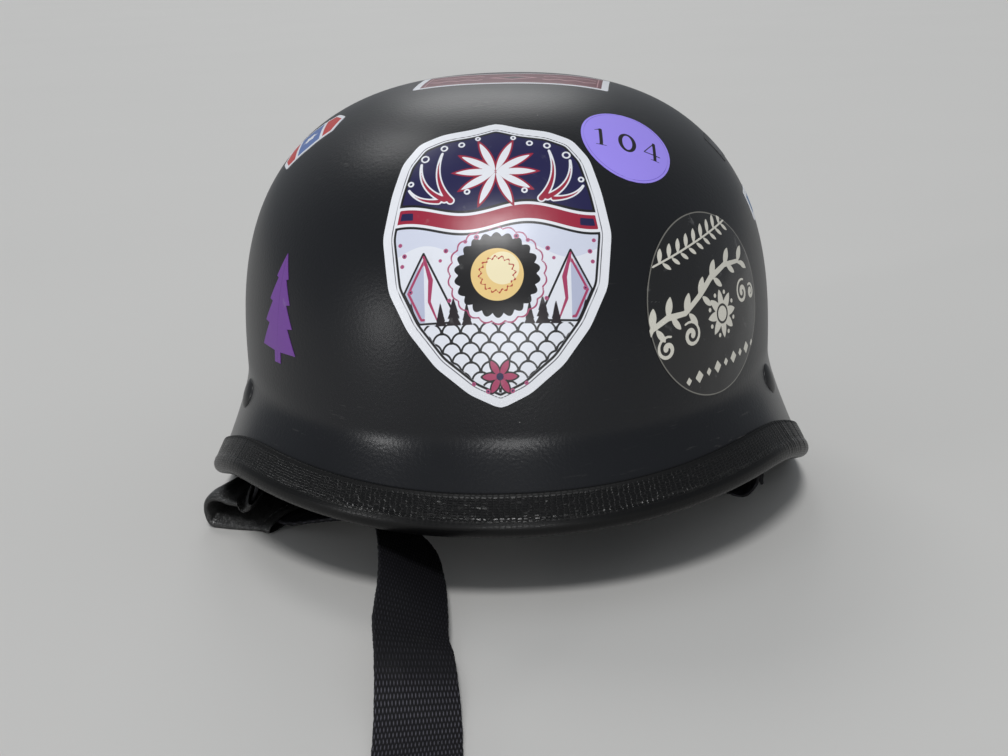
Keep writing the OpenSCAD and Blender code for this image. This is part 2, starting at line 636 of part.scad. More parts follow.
module tail_snap() {
    color([0.2, 0.2, 0.2])
    translate([-22.6, -268, 1.1 + strap_t / 2 + 0.05]) {
        cylinder(r = snap_r, h = snap_h * 0.6);
        translate([0, 0, snap_h * 0.6]) cylinder(r1 = snap_r, r2 = snap_r * 0.7, h = snap_h * 0.4);
    }
}

// Left strap: it hangs from its front ring, turns back on the table and holds both D-rings
d_low_z = loop_play + d_wire_r + strap_t + 0.3;
d_high_z = d_low_z + d_pitch;
d_mid_z = (d_low_z + d_high_z) / 2;
touch_at = [pivot_x - 6.2, ring_y + 3, 7.2];
d_bar = [d_bar_x, ring_y + 40.5, 0];
lie_turn = atan2(d_bar[1] - touch_at[1], touch_at[0] - d_bar[0]);
lie_along = [-cos(lie_turn), sin(lie_turn), 0];
lie_wide = [sin(lie_turn), cos(lie_turn), 0];
web_z = strap_t / 2 + 2.7;
function lie_pt(back, z) = d_bar - lie_along * back + [0, 0, z];
left_points = [[pivot_x, ring_y, strap_top], [pivot_x, ring_y, strap_top - 1.6],
    [pivot_x - 0.2, ring_y + 0.1, 19.5], [pivot_x - 0.6, ring_y + 0.3, 14],
    [pivot_x - 2.2, ring_y + 0.8, 9.8], touch_at, lie_pt(47, 5.6), lie_pt(38, 4.2),
    lie_pt(28, web_z), lie_pt(18, web_z), lie_pt(11, web_z), lie_pt(5, d_mid_z - 0.5),
    lie_pt(d_wire_r + 1, d_mid_z)];
left_wide = [[0, 1, 0], [0, 1, 0], [0, 1, 0], [0, 1, 0], [0.1, 0.99, -0.05],
    [0.45, 0.88, -0.2], for (i = [0 : 6]) lie_wide];
left_path = curve(left_points, fine_step);
left_dirs = spread(left_points, left_wide, fine_step);
module left_strap() {
    color([0.07, 0.07, 0.075]) {
        ribbon(left_path, left_dirs, strap_w, [for (i = left_path) strap_t]);
        translate([pivot_x, ring_y, loop_low]) rotate([90, 0, 0]) web_loop(wire_r, strap_w - loop_trim);
        at_d_bar() rotate([90, 0, 0]) linear_extrude(strap_w, center = true) difference() {
            d_outline(d_wire_r + loop_play + strap_t);
            d_outline(d_wire_r + loop_play);
        }
    }
}
module at_d_bar() {
    translate(d_bar) rotate([0, 0, -lie_turn]) children();
}
module d_outline(r) {
    for (z = [d_low_z, d_high_z]) translate([0, z]) circle(r = r);
    translate([-r, d_low_z]) square([2 * r, d_pitch]);
}
module left_sleeve() { sleeve(left_path, left_dirs, 17, 28); }

// Male half of the snap, on the strap behind the D-rings
module snap_stud() {
    color([0.35, 0.35, 0.35])
    translate(lie_pt(18, web_z + strap_t / 2 + 0.1)) {
        cylinder(r = snap_r * 0.85, h = 0.8);
        cylinder(r = snap_r * 0.4, h = snap_h);
    }
}

// D-ring: a straight bar, two rounded corners, two arms and a half round
d_half = strap_w / 2 + corner_r - 1;
module d_ring(z) {
    color([0.3, 0.3, 0.31])
    at_d_bar() translate([0, 0, z]) {
        translate([0, corner_r - d_half, 0]) rotate([-90, 0, 0])
            cylinder(r = d_wire_r, h = 2 * (d_half - corner_r));
        for (m = [0, 1]) mirror([0, m, 0]) {
            translate([-corner_r, d_half - corner_r, 0]) corner(d_wire_r);
            translate([-corner_r - d_arm, d_half, 0]) rotate([0, 90, 0])
                cylinder(r = d_wire_r, h = d_arm);
        }
        translate([-corner_r - d_arm, 0, 0]) rotate([0, 0, 90])
            rotate_extrude(angle = 180) translate([d_half, 0]) circle(r = d_wire_r);
    }
}
module outer_d_ring() { d_ring(d_high_z); }
module inner_d_ring() { d_ring(d_low_z); }

shell();
edge_trim();
impact_liner();
crown_pad();
brow_pad();
right_temple_pad();
left_temple_pad();
nape_pad();
pad_patches();
strap_rivets();
rivet_spacers();
rivet_burrs();
right_front_hanger();
right_rear_hanger();
left_front_hanger();
left_rear_hanger();
right_front_ring();
right_rear_ring();
left_front_ring();
left_rear_ring();
right_strap();
right_rear_leg();
right_sleeve();
tail_strap_upper();
tail_strap_lower();
tail_snap();
snap_stud();
left_strap();
left_rear_leg();
left_sleeve();
outer_d_ring();
inner_d_ring();
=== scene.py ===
"""Dresses the motorcycle half helmet: shell, trim, liner, pads, webbing, sleeves, hardware, stickers and stage."""

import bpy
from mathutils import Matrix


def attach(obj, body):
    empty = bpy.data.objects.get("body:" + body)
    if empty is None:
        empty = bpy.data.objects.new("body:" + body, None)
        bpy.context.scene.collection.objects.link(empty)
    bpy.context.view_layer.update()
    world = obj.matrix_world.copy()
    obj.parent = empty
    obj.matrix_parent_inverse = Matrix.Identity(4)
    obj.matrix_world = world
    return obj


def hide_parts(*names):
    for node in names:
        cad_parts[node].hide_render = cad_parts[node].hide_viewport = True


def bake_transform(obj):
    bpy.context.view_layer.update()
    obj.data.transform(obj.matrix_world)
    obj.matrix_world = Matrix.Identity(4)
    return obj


bl_info = {
    "name": "Motorcycle Half Helmet",
    "version": (1, 0, 0),
    "blender": (4, 5, 0),
    "location": "View3D > Sidebar > Helmet",
    "description": "Builds the looks of a half helmet around its packed parts",
    "category": "Object",
}

import math

import bpy
import numpy as np
from bpy.props import FloatProperty, FloatVectorProperty, IntProperty, PointerProperty
from mathutils import Matrix, Vector, noise

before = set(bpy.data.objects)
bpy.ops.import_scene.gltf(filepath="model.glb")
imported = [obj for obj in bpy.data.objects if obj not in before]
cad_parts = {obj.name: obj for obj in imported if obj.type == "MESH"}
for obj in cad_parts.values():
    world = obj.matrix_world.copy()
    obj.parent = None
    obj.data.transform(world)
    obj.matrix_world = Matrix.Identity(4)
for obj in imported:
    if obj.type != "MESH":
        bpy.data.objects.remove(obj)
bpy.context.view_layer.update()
MM = 0.001

# Shell sizes, in millimetres, as the frame has them
HALF_W, FRONT_LEN, REAR_LEN = 103.8, 122.0, 138.0
WAIST_Z, DOME_H, WALL = 60.0, 104.0, 3.5
PLAN_N, DOME_N = 2.15, 2.67
FLARE_FRONT, FLARE_SIDE, FLARE_REAR = 9.8, 14.0, 14.0
BEND = 0.25
TEMPLE_Z, BROW_DIP, BROW_FROM = 33.8, 6.8, 60.0
SIDE_SLOPE, REST_Y, FLAT_CUT = 0.4, 6.8, 0.9
SIDE_BLEND, FLAT_BLEND = 6.0, 0.6

# Trim, liner and pad sizes, in millimetres
TRIM_FACE, TRIM_LIP, TRIM_GAP, LIP_T = 9.0, 8.0, 0.1, 1.1
BEAD_R, BEAD_UP, REACH_OVER_RIM = 4.1, -1.0, 1.9
LINER_GAP, LINER_SIDE, LINER_CROWN = 0.3, 14.0, 22.0
LINER_EDGE_Z, LINER_NAPE_Z, LINER_BREAK_Z, LINER_ROUND = 65.0, 44.0, 92.0, 3.0
LINER_IN = WALL + LINER_GAP + LINER_SIDE
LINER_TOP_OUT = DOME_H - WALL - LINER_GAP
LINER_TOP_IN = LINER_TOP_OUT - LINER_CROWN
PAD_GAP, PAD_T, PAD_LIFT, BINDING_R = 2.3, 7.0, 3.0, 0.9
CROWN_REACH = math.radians(38)
HEAD_MIDDLE = np.array([0, 8, 55])
PAD_STITCH, SLEEVE_STITCH = (3.4, 2.3, 0.26), (3.0, 2.1, 0.24)  # pitch, length and radius of the thread

# Strap routes' driving sizes, in millimetres
PIVOT_X, PIVOT_Z, RING_Y, REAR_BAR_Y = 94.8, 38.0, -42.5, 12.5
WIRE_R, D_WIRE_R, D_RISE, LOOP_PLAY = 1.8, 1.75, 4.1, 0.25
FRONT_BAR_Z, REAR_BAR_Z = PIVOT_Z - 9.0, PIVOT_Z - 29.0 / 2
STRAP_W, TAIL_W, LOOP_W, LEG_W = 26.0, 25.5, 25.6, 17.0
STRAP_T, WEB_T = 1.6, 1.3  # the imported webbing's thickness, and the woven one's between its floats
SLEEVE_W, SLEEVE_HALF_T, LIE_Z = 37.0, 3.2, 3.4
LOOP_R = WIRE_R + LOOP_PLAY + STRAP_T / 2
COARSE = 0.86  # distance between points across webbing that stays out of sight
ROUTE_STEP = 1.2  # distance between points of the routes before they are evened out
MOUTH_SHARE, CREASE_SHARE = 9, 11  # how much of a strap the next piece takes over at its hinge
MOUTH_BEND, CREASE_BEND = 5, 8  # distances on both sides of the tail's hinges, given as the ends of its pieces
FLOAT_RISE, EDGE_WANDER = 0.17, 0.22  # how far the tail's floats stand out and its edges wander


def circle(count):
    """Directions all round, in radians."""
    return np.linspace(0, 2 * np.pi, count, endpoint=False)


def smaller(a, b, r):
    return (a + b - np.sqrt((a - b) ** 2 + r * r)) / 2


def larger(a, b, r):
    return (a + b + np.sqrt((a - b) ** 2 + r * r)) / 2


def signed_power(v, e):
    return np.sign(v) * np.abs(v) ** e


def unit(v):
    v = np.asarray(v, float)
    return v / np.linalg.norm(v, axis=-1, keepdims=True)


# Shape of the shell: directions are in radians, results in millimetres
def half_len(y):
    return np.where(y < 0, FRONT_LEN, REAR_LEN)


def plan(a, inset=0.0):
    x = (HALF_W - inset) * signed_power(np.cos(a), 2 / PLAN_N)
    y = (half_len(np.sin(a)) - inset) * signed_power(np.sin(a), 2 / PLAN_N)
    return np.stack([x, y], -1)


def plan3(flat):
    return np.concatenate([flat, np.zeros(flat.shape[:-1] + (1,))], -1)


def plan_out(a):
    x = signed_power(np.cos(a), 2 - 2 / PLAN_N) / HALF_W
    y = signed_power(np.sin(a), 2 - 2 / PLAN_N) / half_len(np.sin(a))
    return unit(np.stack([x, y], -1))


def flare(a):
    end = np.where(np.sin(a) < 0, FLARE_FRONT, FLARE_REAR)
    return FLARE_SIDE + (end - FLARE_SIDE) * np.sin(a) ** 2


def rim_low(y):
    brow_y = FRONT_LEN + FLARE_FRONT
    brow = TEMPLE_Z - BROW_DIP * np.maximum(0, (-y - BROW_FROM) / (brow_y - BROW_FROM)) ** 2
    return larger(-FLAT_CUT, smaller(brow, SIDE_SLOPE * (REST_Y - y), SIDE_BLEND), FLAT_BLEND)


def drop(a):
    rim_y = plan(a)[..., 1] + plan_out(a)[..., 1] * flare(a)
    return WAIST_Z - rim_low(rim_y) - BEAD_R - REACH_OVER_RIM


def flare_pt(a, f, off):
    span = math.sqrt(1 + BEND * BEND) - BEND
    root = np.sqrt(f * f + BEND * BEND)
    tilt = np.arctan2(flare(a) * f / root / span, drop(a))
    reach = flare(a) * (root - BEND) / span + off * np.cos(tilt)
    p = plan(a) + plan_out(a) * reach[..., None]
    return np.concatenate([p, (WAIST_Z - drop(a) * f + off * np.sin(tilt))[..., None]], -1)


def edge_pt(a, up, off):
    return flare_pt(a, 1 - up / np.hypot(flare(a), drop(a)), off)


def dome_pt(a, t, inset, top_inset):
    p = plan(a, inset) * (np.abs(np.cos(t)) ** (2 / DOME_N))[..., None]
    z = WAIST_Z + (DOME_H - top_inset) * np.abs(np.sin(t)) ** (2 / DOME_N) + 0 * a
    return np.concatenate([p, z[..., None]], -1)


def liner_z(a):
    f = np.clip((110 - plan(a)[..., 1]) / 60, 0, 1)
    return LINER_NAPE_Z + (LINER_EDGE_Z - LINER_NAPE_Z) * f


def liner_pt(a, inset, top, z):
    high = np.clip((z - WAIST_Z) / top, 0, 1)
    k = np.maximum(0, 1 - high**DOME_N) ** (1 / DOME_N)
    return np.concatenate([plan(a, inset) * k[..., None], z[..., None]], -1)


# Curves of straps through given points, in millimetres
def lean(p, i):
    before = p[i] - p[max(i - 1, 0)]
    after = p[min(i + 1, len(p) - 1)] - p[i]
    m, n = np.linalg.norm(before), np.linalg.norm(after)
    if m == 0:
        return after / n
    if n == 0:
        return before / m
    return (before / m * n + after / n * m) / (m + n)


def parts(p, i, step):
    return math.ceil(np.linalg.norm(p[i + 1] - p[i]) / step)


def curve(points, step):
    p = np.asarray(points, float)
    out = []
    for i in range(len(p) - 1):
        n = parts(p, i, step)
        reach = np.linalg.norm(p[i + 1] - p[i])
        a, b = lean(p, i) * reach, lean(p, i + 1) * reach
        for k in range(n):
            f = k / n
            g = 1 - f
            out.append(
                p[i] * g * g * (1 + 2 * f) + p[i + 1] * f * f * (1 + 2 * g)
                + a * f * g * g - b * f * f * g
            )
    return np.array(out + [p[-1]])


def spread(points, wides, step):
    p, w = np.asarray(points, float), np.asarray(wides, float)
    out = []
    for i in range(len(p) - 1):
        n = parts(p, i, step)
        out += [w[i] + (w[i + 1] - w[i]) * k / n for k in range(n)]
    return np.array(out + [w[-1]])


def headings(path, loop=False):
    if loop:
        return unit(np.roll(path, -1, 0) - np.roll(path, 1, 0))
    return unit(np.concatenate([path[1:2] - path[:1], path[2:] - path[:-2], path[-1:] - path[-2:-1]]))


def strap_frame(path, wides, loop=False):
    """Unit directions along, across and off the face at each point of a strap's path."""
    along = headings(path, loop)
    across = unit(wides - along * np.sum(wides * along, -1, keepdims=True))
    return along, across, np.cross(along, across)


def lengths(path):
    return np.concatenate([[0], np.cumsum(np.linalg.norm(np.diff(path, axis=0), axis=1))])


def sampled(s, run, line):
    """A line's points at the distances s, where run holds its own points' distances."""
    return np.stack([np.interp(s, run, column) for column in np.transpose(line)], -1)


# Making and finishing meshes
def deselect():
    if bpy.context.object and bpy.context.object.mode != "OBJECT":
        bpy.ops.object.mode_set(mode="OBJECT")
    bpy.ops.object.select_all(action="DESELECT")


def only(piece):
    deselect()
    piece.select_set(True)
    bpy.context.view_layer.objects.active = piece


def added(name):
    """The primitive that was just added, under its name."""
    piece = bpy.context.object
    piece.name = piece.data.name = name
    return piece


def points_of(piece):
    flat = np.empty(len(piece.data.vertices) * 3, np.float32)
    piece.data.vertices.foreach_get("co", flat)
    return flat.reshape(-1, 3).astype(float)


def set_points(piece, points):
    piece.data.vertices.foreach_set("co", np.ascontiguousarray(points, np.float32).ravel())
    piece.data.update()


def edit(piece, *steps):
    """Takes steps, functions without arguments, in edit mode with the whole mesh selected."""
    only(piece)
    bpy.ops.object.mode_set(mode="EDIT")
    bpy.ops.mesh.select_all(action="SELECT")
    for step in steps:
        step()
    bpy.ops.object.mode_set(mode="OBJECT")


def smooth(piece, degrees=40):
    only(piece)
    bpy.ops.object.shade_smooth_by_angle(angle=math.radians(degrees))
    return piece


def apply_modifiers(piece):
    only(piece)
    for modifier in list(piece.modifiers):
        bpy.ops.object.modifier_apply(modifier=modifier.name)


def lofted(name, rings, along=None, across=None, loop=False, fields=()):
    """A grid primitive laid over rings of points in millimetres and sewn where its edges meet.
    along and across are the distances that the UV map holds, and fields are numbers kept at the points."""

    def wrapped(grid):
        grid = np.asarray(grid, float)
        if loop:
            grid = np.concatenate([grid, grid[:1]])
        return np.concatenate([grid, grid[:, :1]], axis=1)

    rings = wrapped(rings)
    rows, sides = rings.shape[:2]
    deselect()
    bpy.ops.mesh.primitive_grid_add(x_subdivisions=rows - 1, y_subdivisions=sides - 1, size=2)
    piece = added(name)
    flat = points_of(piece)
    if len(flat) != rows * sides:
        raise RuntimeError(f"{name}: the grid has {len(flat)} points in place of {rows * sides}")
    i = np.rint((flat[:, 0] + 1) / 2 * (rows - 1)).astype(int)
    j = np.rint((flat[:, 1] + 1) / 2 * (sides - 1)).astype(int)
    set_points(piece, rings[i, j] * MM)
    along = lengths(rings.mean(1)) if along is None else along
    across = lengths(rings[rows // 2]) if across is None else across
    corners = np.empty(len(piece.data.loops), np.int32)
    piece.data.loops.foreach_get("vertex_index", corners)
    uv = np.stack([along[i], across[j]], -1)[corners] * MM
    piece.data.uv_layers.active.data.foreach_set("uv", uv.astype(np.float32).ravel())
    for key, value in dict(fields).items():
        store = piece.data.attributes.new(key, "FLOAT", "POINT")
        store.data.foreach_set("value", wrapped(value)[i, j].astype(np.float32))
    edit(
        piece, lambda: bpy.ops.mesh.remove_doubles(threshold=1e-6),
        lambda: bpy.ops.mesh.normals_make_consistent(inside=False),
    )
    return smooth(piece)


def with_ends(rings):
    """Rings with both ends drawn in to a point, so that the loft is closed."""
    first, last = rings[:1].mean(1, keepdims=True), rings[-1:].mean(1, keepdims=True)
    sides = rings.shape[1]
    return np.concatenate([np.repeat(first, sides, 1), rings, np.repeat(last, sides, 1)])


def joined(name, pieces):
    deselect()
    for piece in pieces:
        piece.select_set(True)
    bpy.context.view_layer.objects.active = pieces[0]
    bpy.ops.object.join()
    return added(name)


def paint(piece, material):
    piece.data.materials.clear()
    piece.data.materials.append(material)


def fit_out(piece, body, material, replaces=(), ends=None):
    """Gives a finished piece its material and body, and hides the imported nodes that it stands for.
    With ends, body is a pair; the piece is then attached to no body and only has its transform baked in."""
    paint(piece, material)
    if ends:
        tuple(ends[0] * MM)
        tuple(ends[1] * MM)
        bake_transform(piece)
    else:
        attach(piece, body)
    if replaces:
        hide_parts(*replaces)
    return piece


# Materials
class Value:
    """A shader socket that takes part in sums."""

    def __init__(self, tree, socket):
        self.tree, self.socket = tree, socket

    def math(self, operation, *others):
        return self.tree.node("ShaderNodeMath", {"operation": operation}, self, *others)

    def __add__(self, other):
        return self.math("ADD", other)

    def __sub__(self, other):
        return self.math("SUBTRACT", other)

    def __rsub__(self, other):
        return self.tree.node("ShaderNodeMath", {"operation": "SUBTRACT"}, other, self)

    def __mul__(self, other):
        return self.math("MULTIPLY", other)

    def __pow__(self, other):
        return self.math("POWER", other)

    __radd__ = __add__
    __rmul__ = __mul__

    def clamp(self):
        return self.tree.node("ShaderNodeClamp", {}, self)


class Tree:
    """The nodes of one material."""

    def __init__(self, name):
        self.material = bpy.data.materials.new(name)
        self.material.use_nodes = True
        self.made = self.material.node_tree
        self.surface = self.made.nodes["Principled BSDF"]

    def put(self, socket, value):
        if isinstance(value, Value):
            self.made.links.new(value.socket, socket)
        else:
            socket.default_value = value

    def node(self, kind, settings, *values, out=0, **named):
        """Adds a node, with its settings first, then the values or links of its sockets by place or by name."""
        made = self.made.nodes.new(kind)
        for key, value in settings.items():
            setattr(made, key, value)
        for place, value in enumerate(values):
            if value is not None:
                self.put(made.inputs[place], value)
        for key, value in named.items():
            self.put(made.inputs[key.replace("_", " ")], value)
        return Value(self, made.outputs[out])

    def coords(self):
        return self.node("ShaderNodeTexCoord", {}, out="Object")

    def uv(self):
        return self.node("ShaderNodeUVMap", {})

    def field(self, name):
        return self.node("ShaderNodeAttribute", {"attribute_name": name}, out="Fac")

    def axis(self, vector, place):
        return self.node("ShaderNodeSeparateXYZ", {}, vector, out=place)

    def noise(self, vector, scale, detail=3.0, roughness=0.5, distortion=0.0):
        return self.node(
            "ShaderNodeTexNoise", {}, Vector=vector, Scale=scale, Detail=detail, Roughness=roughness,
            Distortion=distortion,
        )

    def cells(self, vector, scale, feature="F1", randomness=1.0):
        return self.node(
            "ShaderNodeTexVoronoi", {"feature": feature}, Vector=vector, Scale=scale, Randomness=randomness
        )

    def stretched(self, vector, scale):
        return self.node("ShaderNodeMapping", {}, Vector=vector, Scale=scale)

    def mix(self, factor, a, b):
        return self.node("ShaderNodeMix", {"data_type": "RGBA"}, factor, *[None] * 5, a, b, out=2)

    def shades(self, factor, colour, low, high):
        """Mixes two shades of a colour, given as shares of it."""
        return self.mix(factor, rgb(colour, low), rgb(colour, high))

    def drawn(self, vector, scales, *rest):
        """Noise drawn out along the axes."""
        return self.noise(self.stretched(vector, scales), 1.0, *rest)

    def bump(self, height, distance, strength=1.0):
        return self.node("ShaderNodeBump", {}, Strength=strength, Distance=distance, Height=height)

    def finish(self, **inputs):
        for key, value in inputs.items():
            self.put(self.surface.inputs[key.replace("_", " ")], value)
        return self.material


EDGE_BLUR = 0.14  # width over which two printed colours meet, in millimetres


def rgb(colour, gain=1.0):
    return (colour[0] * gain, colour[1] * gain, colour[2] * gain, 1.0)


def shell_material(look):
    """Matte black paint with a faint orange peel, specks of dust and soft scuffs, and a pale rubbed patch at the
    crown's front that is partly scuffs and partly a painted highlight.
    """
    tree = Tree("matte_black_shell")
    place = tree.coords()
    cloud = tree.noise(place, 18, 4, 0.6)
    peel = tree.noise(place, 900, 2, 0.5)
    speck = ((0.036 - tree.cells(place, 170)) * 60).clamp() * (tree.noise(place, 45, 2) * 6 - 3.3).clamp()
    streaks = tree.drawn(place, (60, 60, 600), 3, 0.7, 0.4)
    near = tree.node(
        "ShaderNodeVectorMath", {"operation": "DISTANCE"}, tree.stretched(place, (1, 1.6, 1)),
        (-0.006, -0.08, 0.16), out="Value",
    )
    # A pale patch on the crown's front: partly rubbed paint, partly a painted highlight where the crown catches the
    # light.
    paler = (tree.drawn(place, (130, 420, 130), 5, 0.75, 0.8) * 7 - 3.7).clamp()
    scuff_and_sheen = (streaks * 8 - 5.1).clamp() * (tree.noise(place, 14, 3) * 5 - 2.6).clamp()
    scuff_and_sheen = scuff_and_sheen + paler * (1 - near * 55).clamp()
    base = tree.shades(cloud, look.shell, 0.86, 1.2)
    # Scuffs and the crown's patch mixed towards the dust colour: real scuffs, plus a painted highlight on the crown.
    base = tree.mix(scuff_and_sheen.clamp() * 0.5, base, rgb(look.dust, 0.5))
    base = tree.mix(speck, base, rgb(look.dust))
    rim = ((0.066 - tree.axis(place, 2)) * 90).clamp()
    rough = cloud * 0.06 + 0.34 - rim * 0.08 + scuff_and_sheen * 0.12 + speck * 0.3
    return tree.finish(
        Base_Color=base, Roughness=rough, Specular_IOR_Level=0.34,
        Normal=tree.bump(peel * 0.8 + cloud * 0.3, 0.00014, 0.6),
    )


def trim_material(look):
    """Black vinyl with staggered dashes in its grain, creased where it turns the corners; its grooves and bead are
    painted darker as shade, and the ridge has pale streaks that are partly wear and partly a painted glint.
    """
    tree = Tree("grained_edge_trim")
    flat = tree.uv()
    place = tree.coords()
    cloud = tree.noise(place, 60, 4, 0.6)
    drift = tree.drawn(flat, (300, 500, 1), 2)
    jitter = tree.node("ShaderNodeCombineXYZ", {}, drift * 0.0009, drift * 0.0005)
    laid = tree.node("ShaderNodeVectorMath", {"operation": "ADD"}, flat, jitter)
    sizes = (1 / look.dash_length, 1 / look.dash_rise, 1)
    seam = tree.cells(tree.stretched(laid, sizes), 1.0, "DISTANCE_TO_EDGE", 0.4)
    dash = 1 - (seam * (look.dash_rise / look.dash_gap)).clamp()
    fine = tree.drawn(flat, (900, 2600, 1), 2)
    wave = (tree.axis(flat, 0) * (2 * math.pi / look.crease_pitch)).math("SINE") * tree.field("creased")
    bead, ridge = tree.field("bead"), tree.field("ridge")
    height = (1 - dash) * (1 - bead) + fine * 0.2 + wave * 0.5
    streak = tree.drawn(flat, (90, 700, 1), 4, 0.7)
    # Pale streaks along the ridge above the bead: partly rubbed wear, partly a painted glint where the bead's upper
    # line catches the light.
    paler = ridge * (streak * 5 - 2.4).clamp()
    # The grain's grooves and the bead, with the top lip, are painted darker than the dashes' faces: painted shade in
    # the grooves and on the bead.
    base = tree.shades(dash * 0.6 + bead * 0.4, look.trim, 0.5, 0.12)
    base = tree.mix(paler * 0.1, base, rgb(look.dust, 0.4))
    return tree.finish(
        Base_Color=base, Roughness=0.27 + cloud * 0.06 + dash * 0.2 - ridge * 0.1, Specular_IOR_Level=0.25,
        Normal=tree.bump(height, 0.00014, 1.0),
    )


def foam_material(look):
    """Moulded foam: small beads pressed together, sprayed black, with painted shade in the gaps between the beads."""
    tree = Tree("moulded_foam")
    place = tree.coords()
    bead = tree.cells(place, 330)
    edge = tree.cells(place, 330, "DISTANCE_TO_EDGE")
    # Darker at the cells' edges: painted shade in the gaps between the beads.
    base = tree.shades((edge * 9).clamp(), look.foam, 0.5, 1.25)
    return tree.finish(
        Base_Color=base, Roughness=0.82 - bead * 0.2, Normal=tree.bump((edge * 6).clamp(), 0.0004, 0.7)
    )


def pad_material(look):
    """Brushed knit over foam."""
    tree = Tree("pad_knit")
    place = tree.coords()
    knit = tree.cells(tree.stretched(place, (1500, 1500, 1100)), 1.0)
    fuzz = tree.noise(place, 2400, 2)
    patch = tree.noise(place, 40, 3)
    base = tree.shades(patch, look.pad, 0.75, 1.35)
    return tree.finish(
        Base_Color=base, Roughness=0.95, Sheen_Weight=0.35, Sheen_Roughness=0.5,
        Normal=tree.bump(knit * 0.6 + fuzz * 0.5, 0.00025, 0.8),
    )


def webbing_material(look):
    """Black nylon webbing: warp floats in staggered rows, painted lighter than the shaded ground between them, with a
    painted sheen on the floats where the tail lies flat.
    """
    tree = Tree("ribbed_webbing")
    flat = tree.uv()
    along, across = tree.axis(flat, 0), tree.axis(flat, 1)
    tone = tree.drawn(flat, (120, 60, 1), 3)
    turn = 2 * math.pi
    warp = (across * (turn / look.warp_pitch)).math("COSINE")
    weft = ((along + across * 0.14) * (turn / look.weft_pitch)).math("COSINE")
    float_ = (warp * weft).clamp() ** 1.7
    twist = (across * (turn * 2.7 / look.warp_pitch) + along * (turn * 3.2 / look.weft_pitch)).math("SINE")
    yarn = float_ * (twist * 0.12 + 0.88)
    # Floats painted lighter and the ground between them darker: painted highlight and shade on the weave.
    base = tree.shades(yarn, look.webbing, 0.4, 2.2)
    # A painted sheen: the floats mixed towards a pale lilac grey where the tail lies flat and catches the light.
    base = tree.mix(yarn * tree.field("sheen_on_floats") * (tone * 0.8 + 0.6), base, (0.12, 0.115, 0.14, 1.0))
    base = tree.mix((tone * 3 - 1.7).clamp() * 0.12, base, rgb(look.dust, 0.15))
    return tree.finish(
        Base_Color=base, Roughness=0.7 - yarn * 0.34, Specular_IOR_Level=0.22,
        Normal=tree.bump(yarn, 0.0002, 0.8),
    )


def leather_material(look):
    """Soft leatherette with a fine pebble grain."""
    tree = Tree("soft_leatherette")
    place = tree.coords()
    pebble = tree.cells(place, 1150, "DISTANCE_TO_EDGE")
    fold = tree.drawn(place, (90, 90, 160), 4, 0.6, 0.6)
    tone = tree.noise(place, 55, 3)
    base = tree.shades(tone, look.leather, 0.7, 1.35)
    height = (pebble * 5).clamp() * 0.35 + fold * 1.4
    return tree.finish(
        Base_Color=base, Roughness=0.27 + tone * 0.12, Specular_IOR_Level=0.5,
        Normal=tree.bump(height, 0.0004, 0.55),
    )


def steel_material(name, colour, rough, metallic):
    """Metal with fine drawn lines and a little grime."""
    tree = Tree(name)
    place = tree.coords()
    lines = tree.drawn(place, (500, 500, 4000), 3)
    grime = tree.noise(place, 220, 4, 0.65)
    base = tree.shades((grime * 3 - 1.4).clamp(), colour, 1.0, 0.5)
    return tree.finish(
        Base_Color=base, Metallic=metallic, Roughness=rough + grime * 0.16,
        Normal=tree.bump(lines, 0.00004, 0.5),
    )


def hook_material(look):
    """Hook tape: rows of tiny loops on a black backing, the loops' tops painted lighter and the backing between them
    darker as painted shade.
    """
    tree = Tree("hook_tape")
    dots = tree.cells(tree.coords(), 1300)
    # Loop tops lighter and the backing darker: painted light and shade on the loops.
    base = tree.shades((dots * 1.6).clamp(), look.pad, 1.5, 0.4)
    return tree.finish(Base_Color=base, Roughness=0.9, Normal=tree.bump(1 - dots, 0.0004, 0.8))


def thread_material(look):
    tree = Tree("sewing_thread")
    twist = (tree.axis(tree.coords(), 0) * 9000 + tree.axis(tree.coords(), 1) * 9000).math("SINE")
    # Lighter on the twist's ridges and darker in its grooves: painted shade between the thread's plies.
    base = tree.shades(twist * 0.5 + 0.5, look.thread, 0.7, 1.3)
    return tree.finish(Base_Color=base, Roughness=0.6, Normal=tree.bump(twist, 0.00005, 0.5))


def print_material(name, base, layers, rough):
    """Printed film: flat inks, each laid over the last inside the outline that its field holds."""
    tree = Tree(name)
    place = tree.coords()
    colour = rgb(base)
    for key, colour_of_ink in layers:
        inside = (0.5 - tree.field(key) * (1 / EDGE_BLUR)).clamp()
        colour = tree.mix(inside, colour, rgb(colour_of_ink))
    wear = tree.noise(place, 160, 4, 0.65)
    lines = tree.drawn(place, (40, 40, 240), 3, 0.6, 0.5)
    rub = (wear * 4 - 2.5).clamp() * 0.25
    colour = tree.mix(rub, colour, (0.5, 0.5, 0.5, 1.0))
    return tree.finish(
        Base_Color=colour, Roughness=rough + wear * 0.12,
        Normal=tree.bump(wear * 0.5 + lines, 0.00008, 0.35),
    )


def ink(red, green, blue):
    """A printed colour, given from 0 to 255 as a screen shows it."""
    levels = np.array([red, green, blue]) / 255
    return tuple(float(v) for v in np.where(levels <= 0.04045, levels / 12.92, ((levels + 0.055) / 1.055) ** 2.4))


# Outlines of printed shapes, as signed distances in millimetres, negative inside
def disc(s, t, x, y, r):
    return np.hypot(s - x, t - y) - r


def discs(s, t, places):
    return union(*(disc(s, t, *place) for place in places))


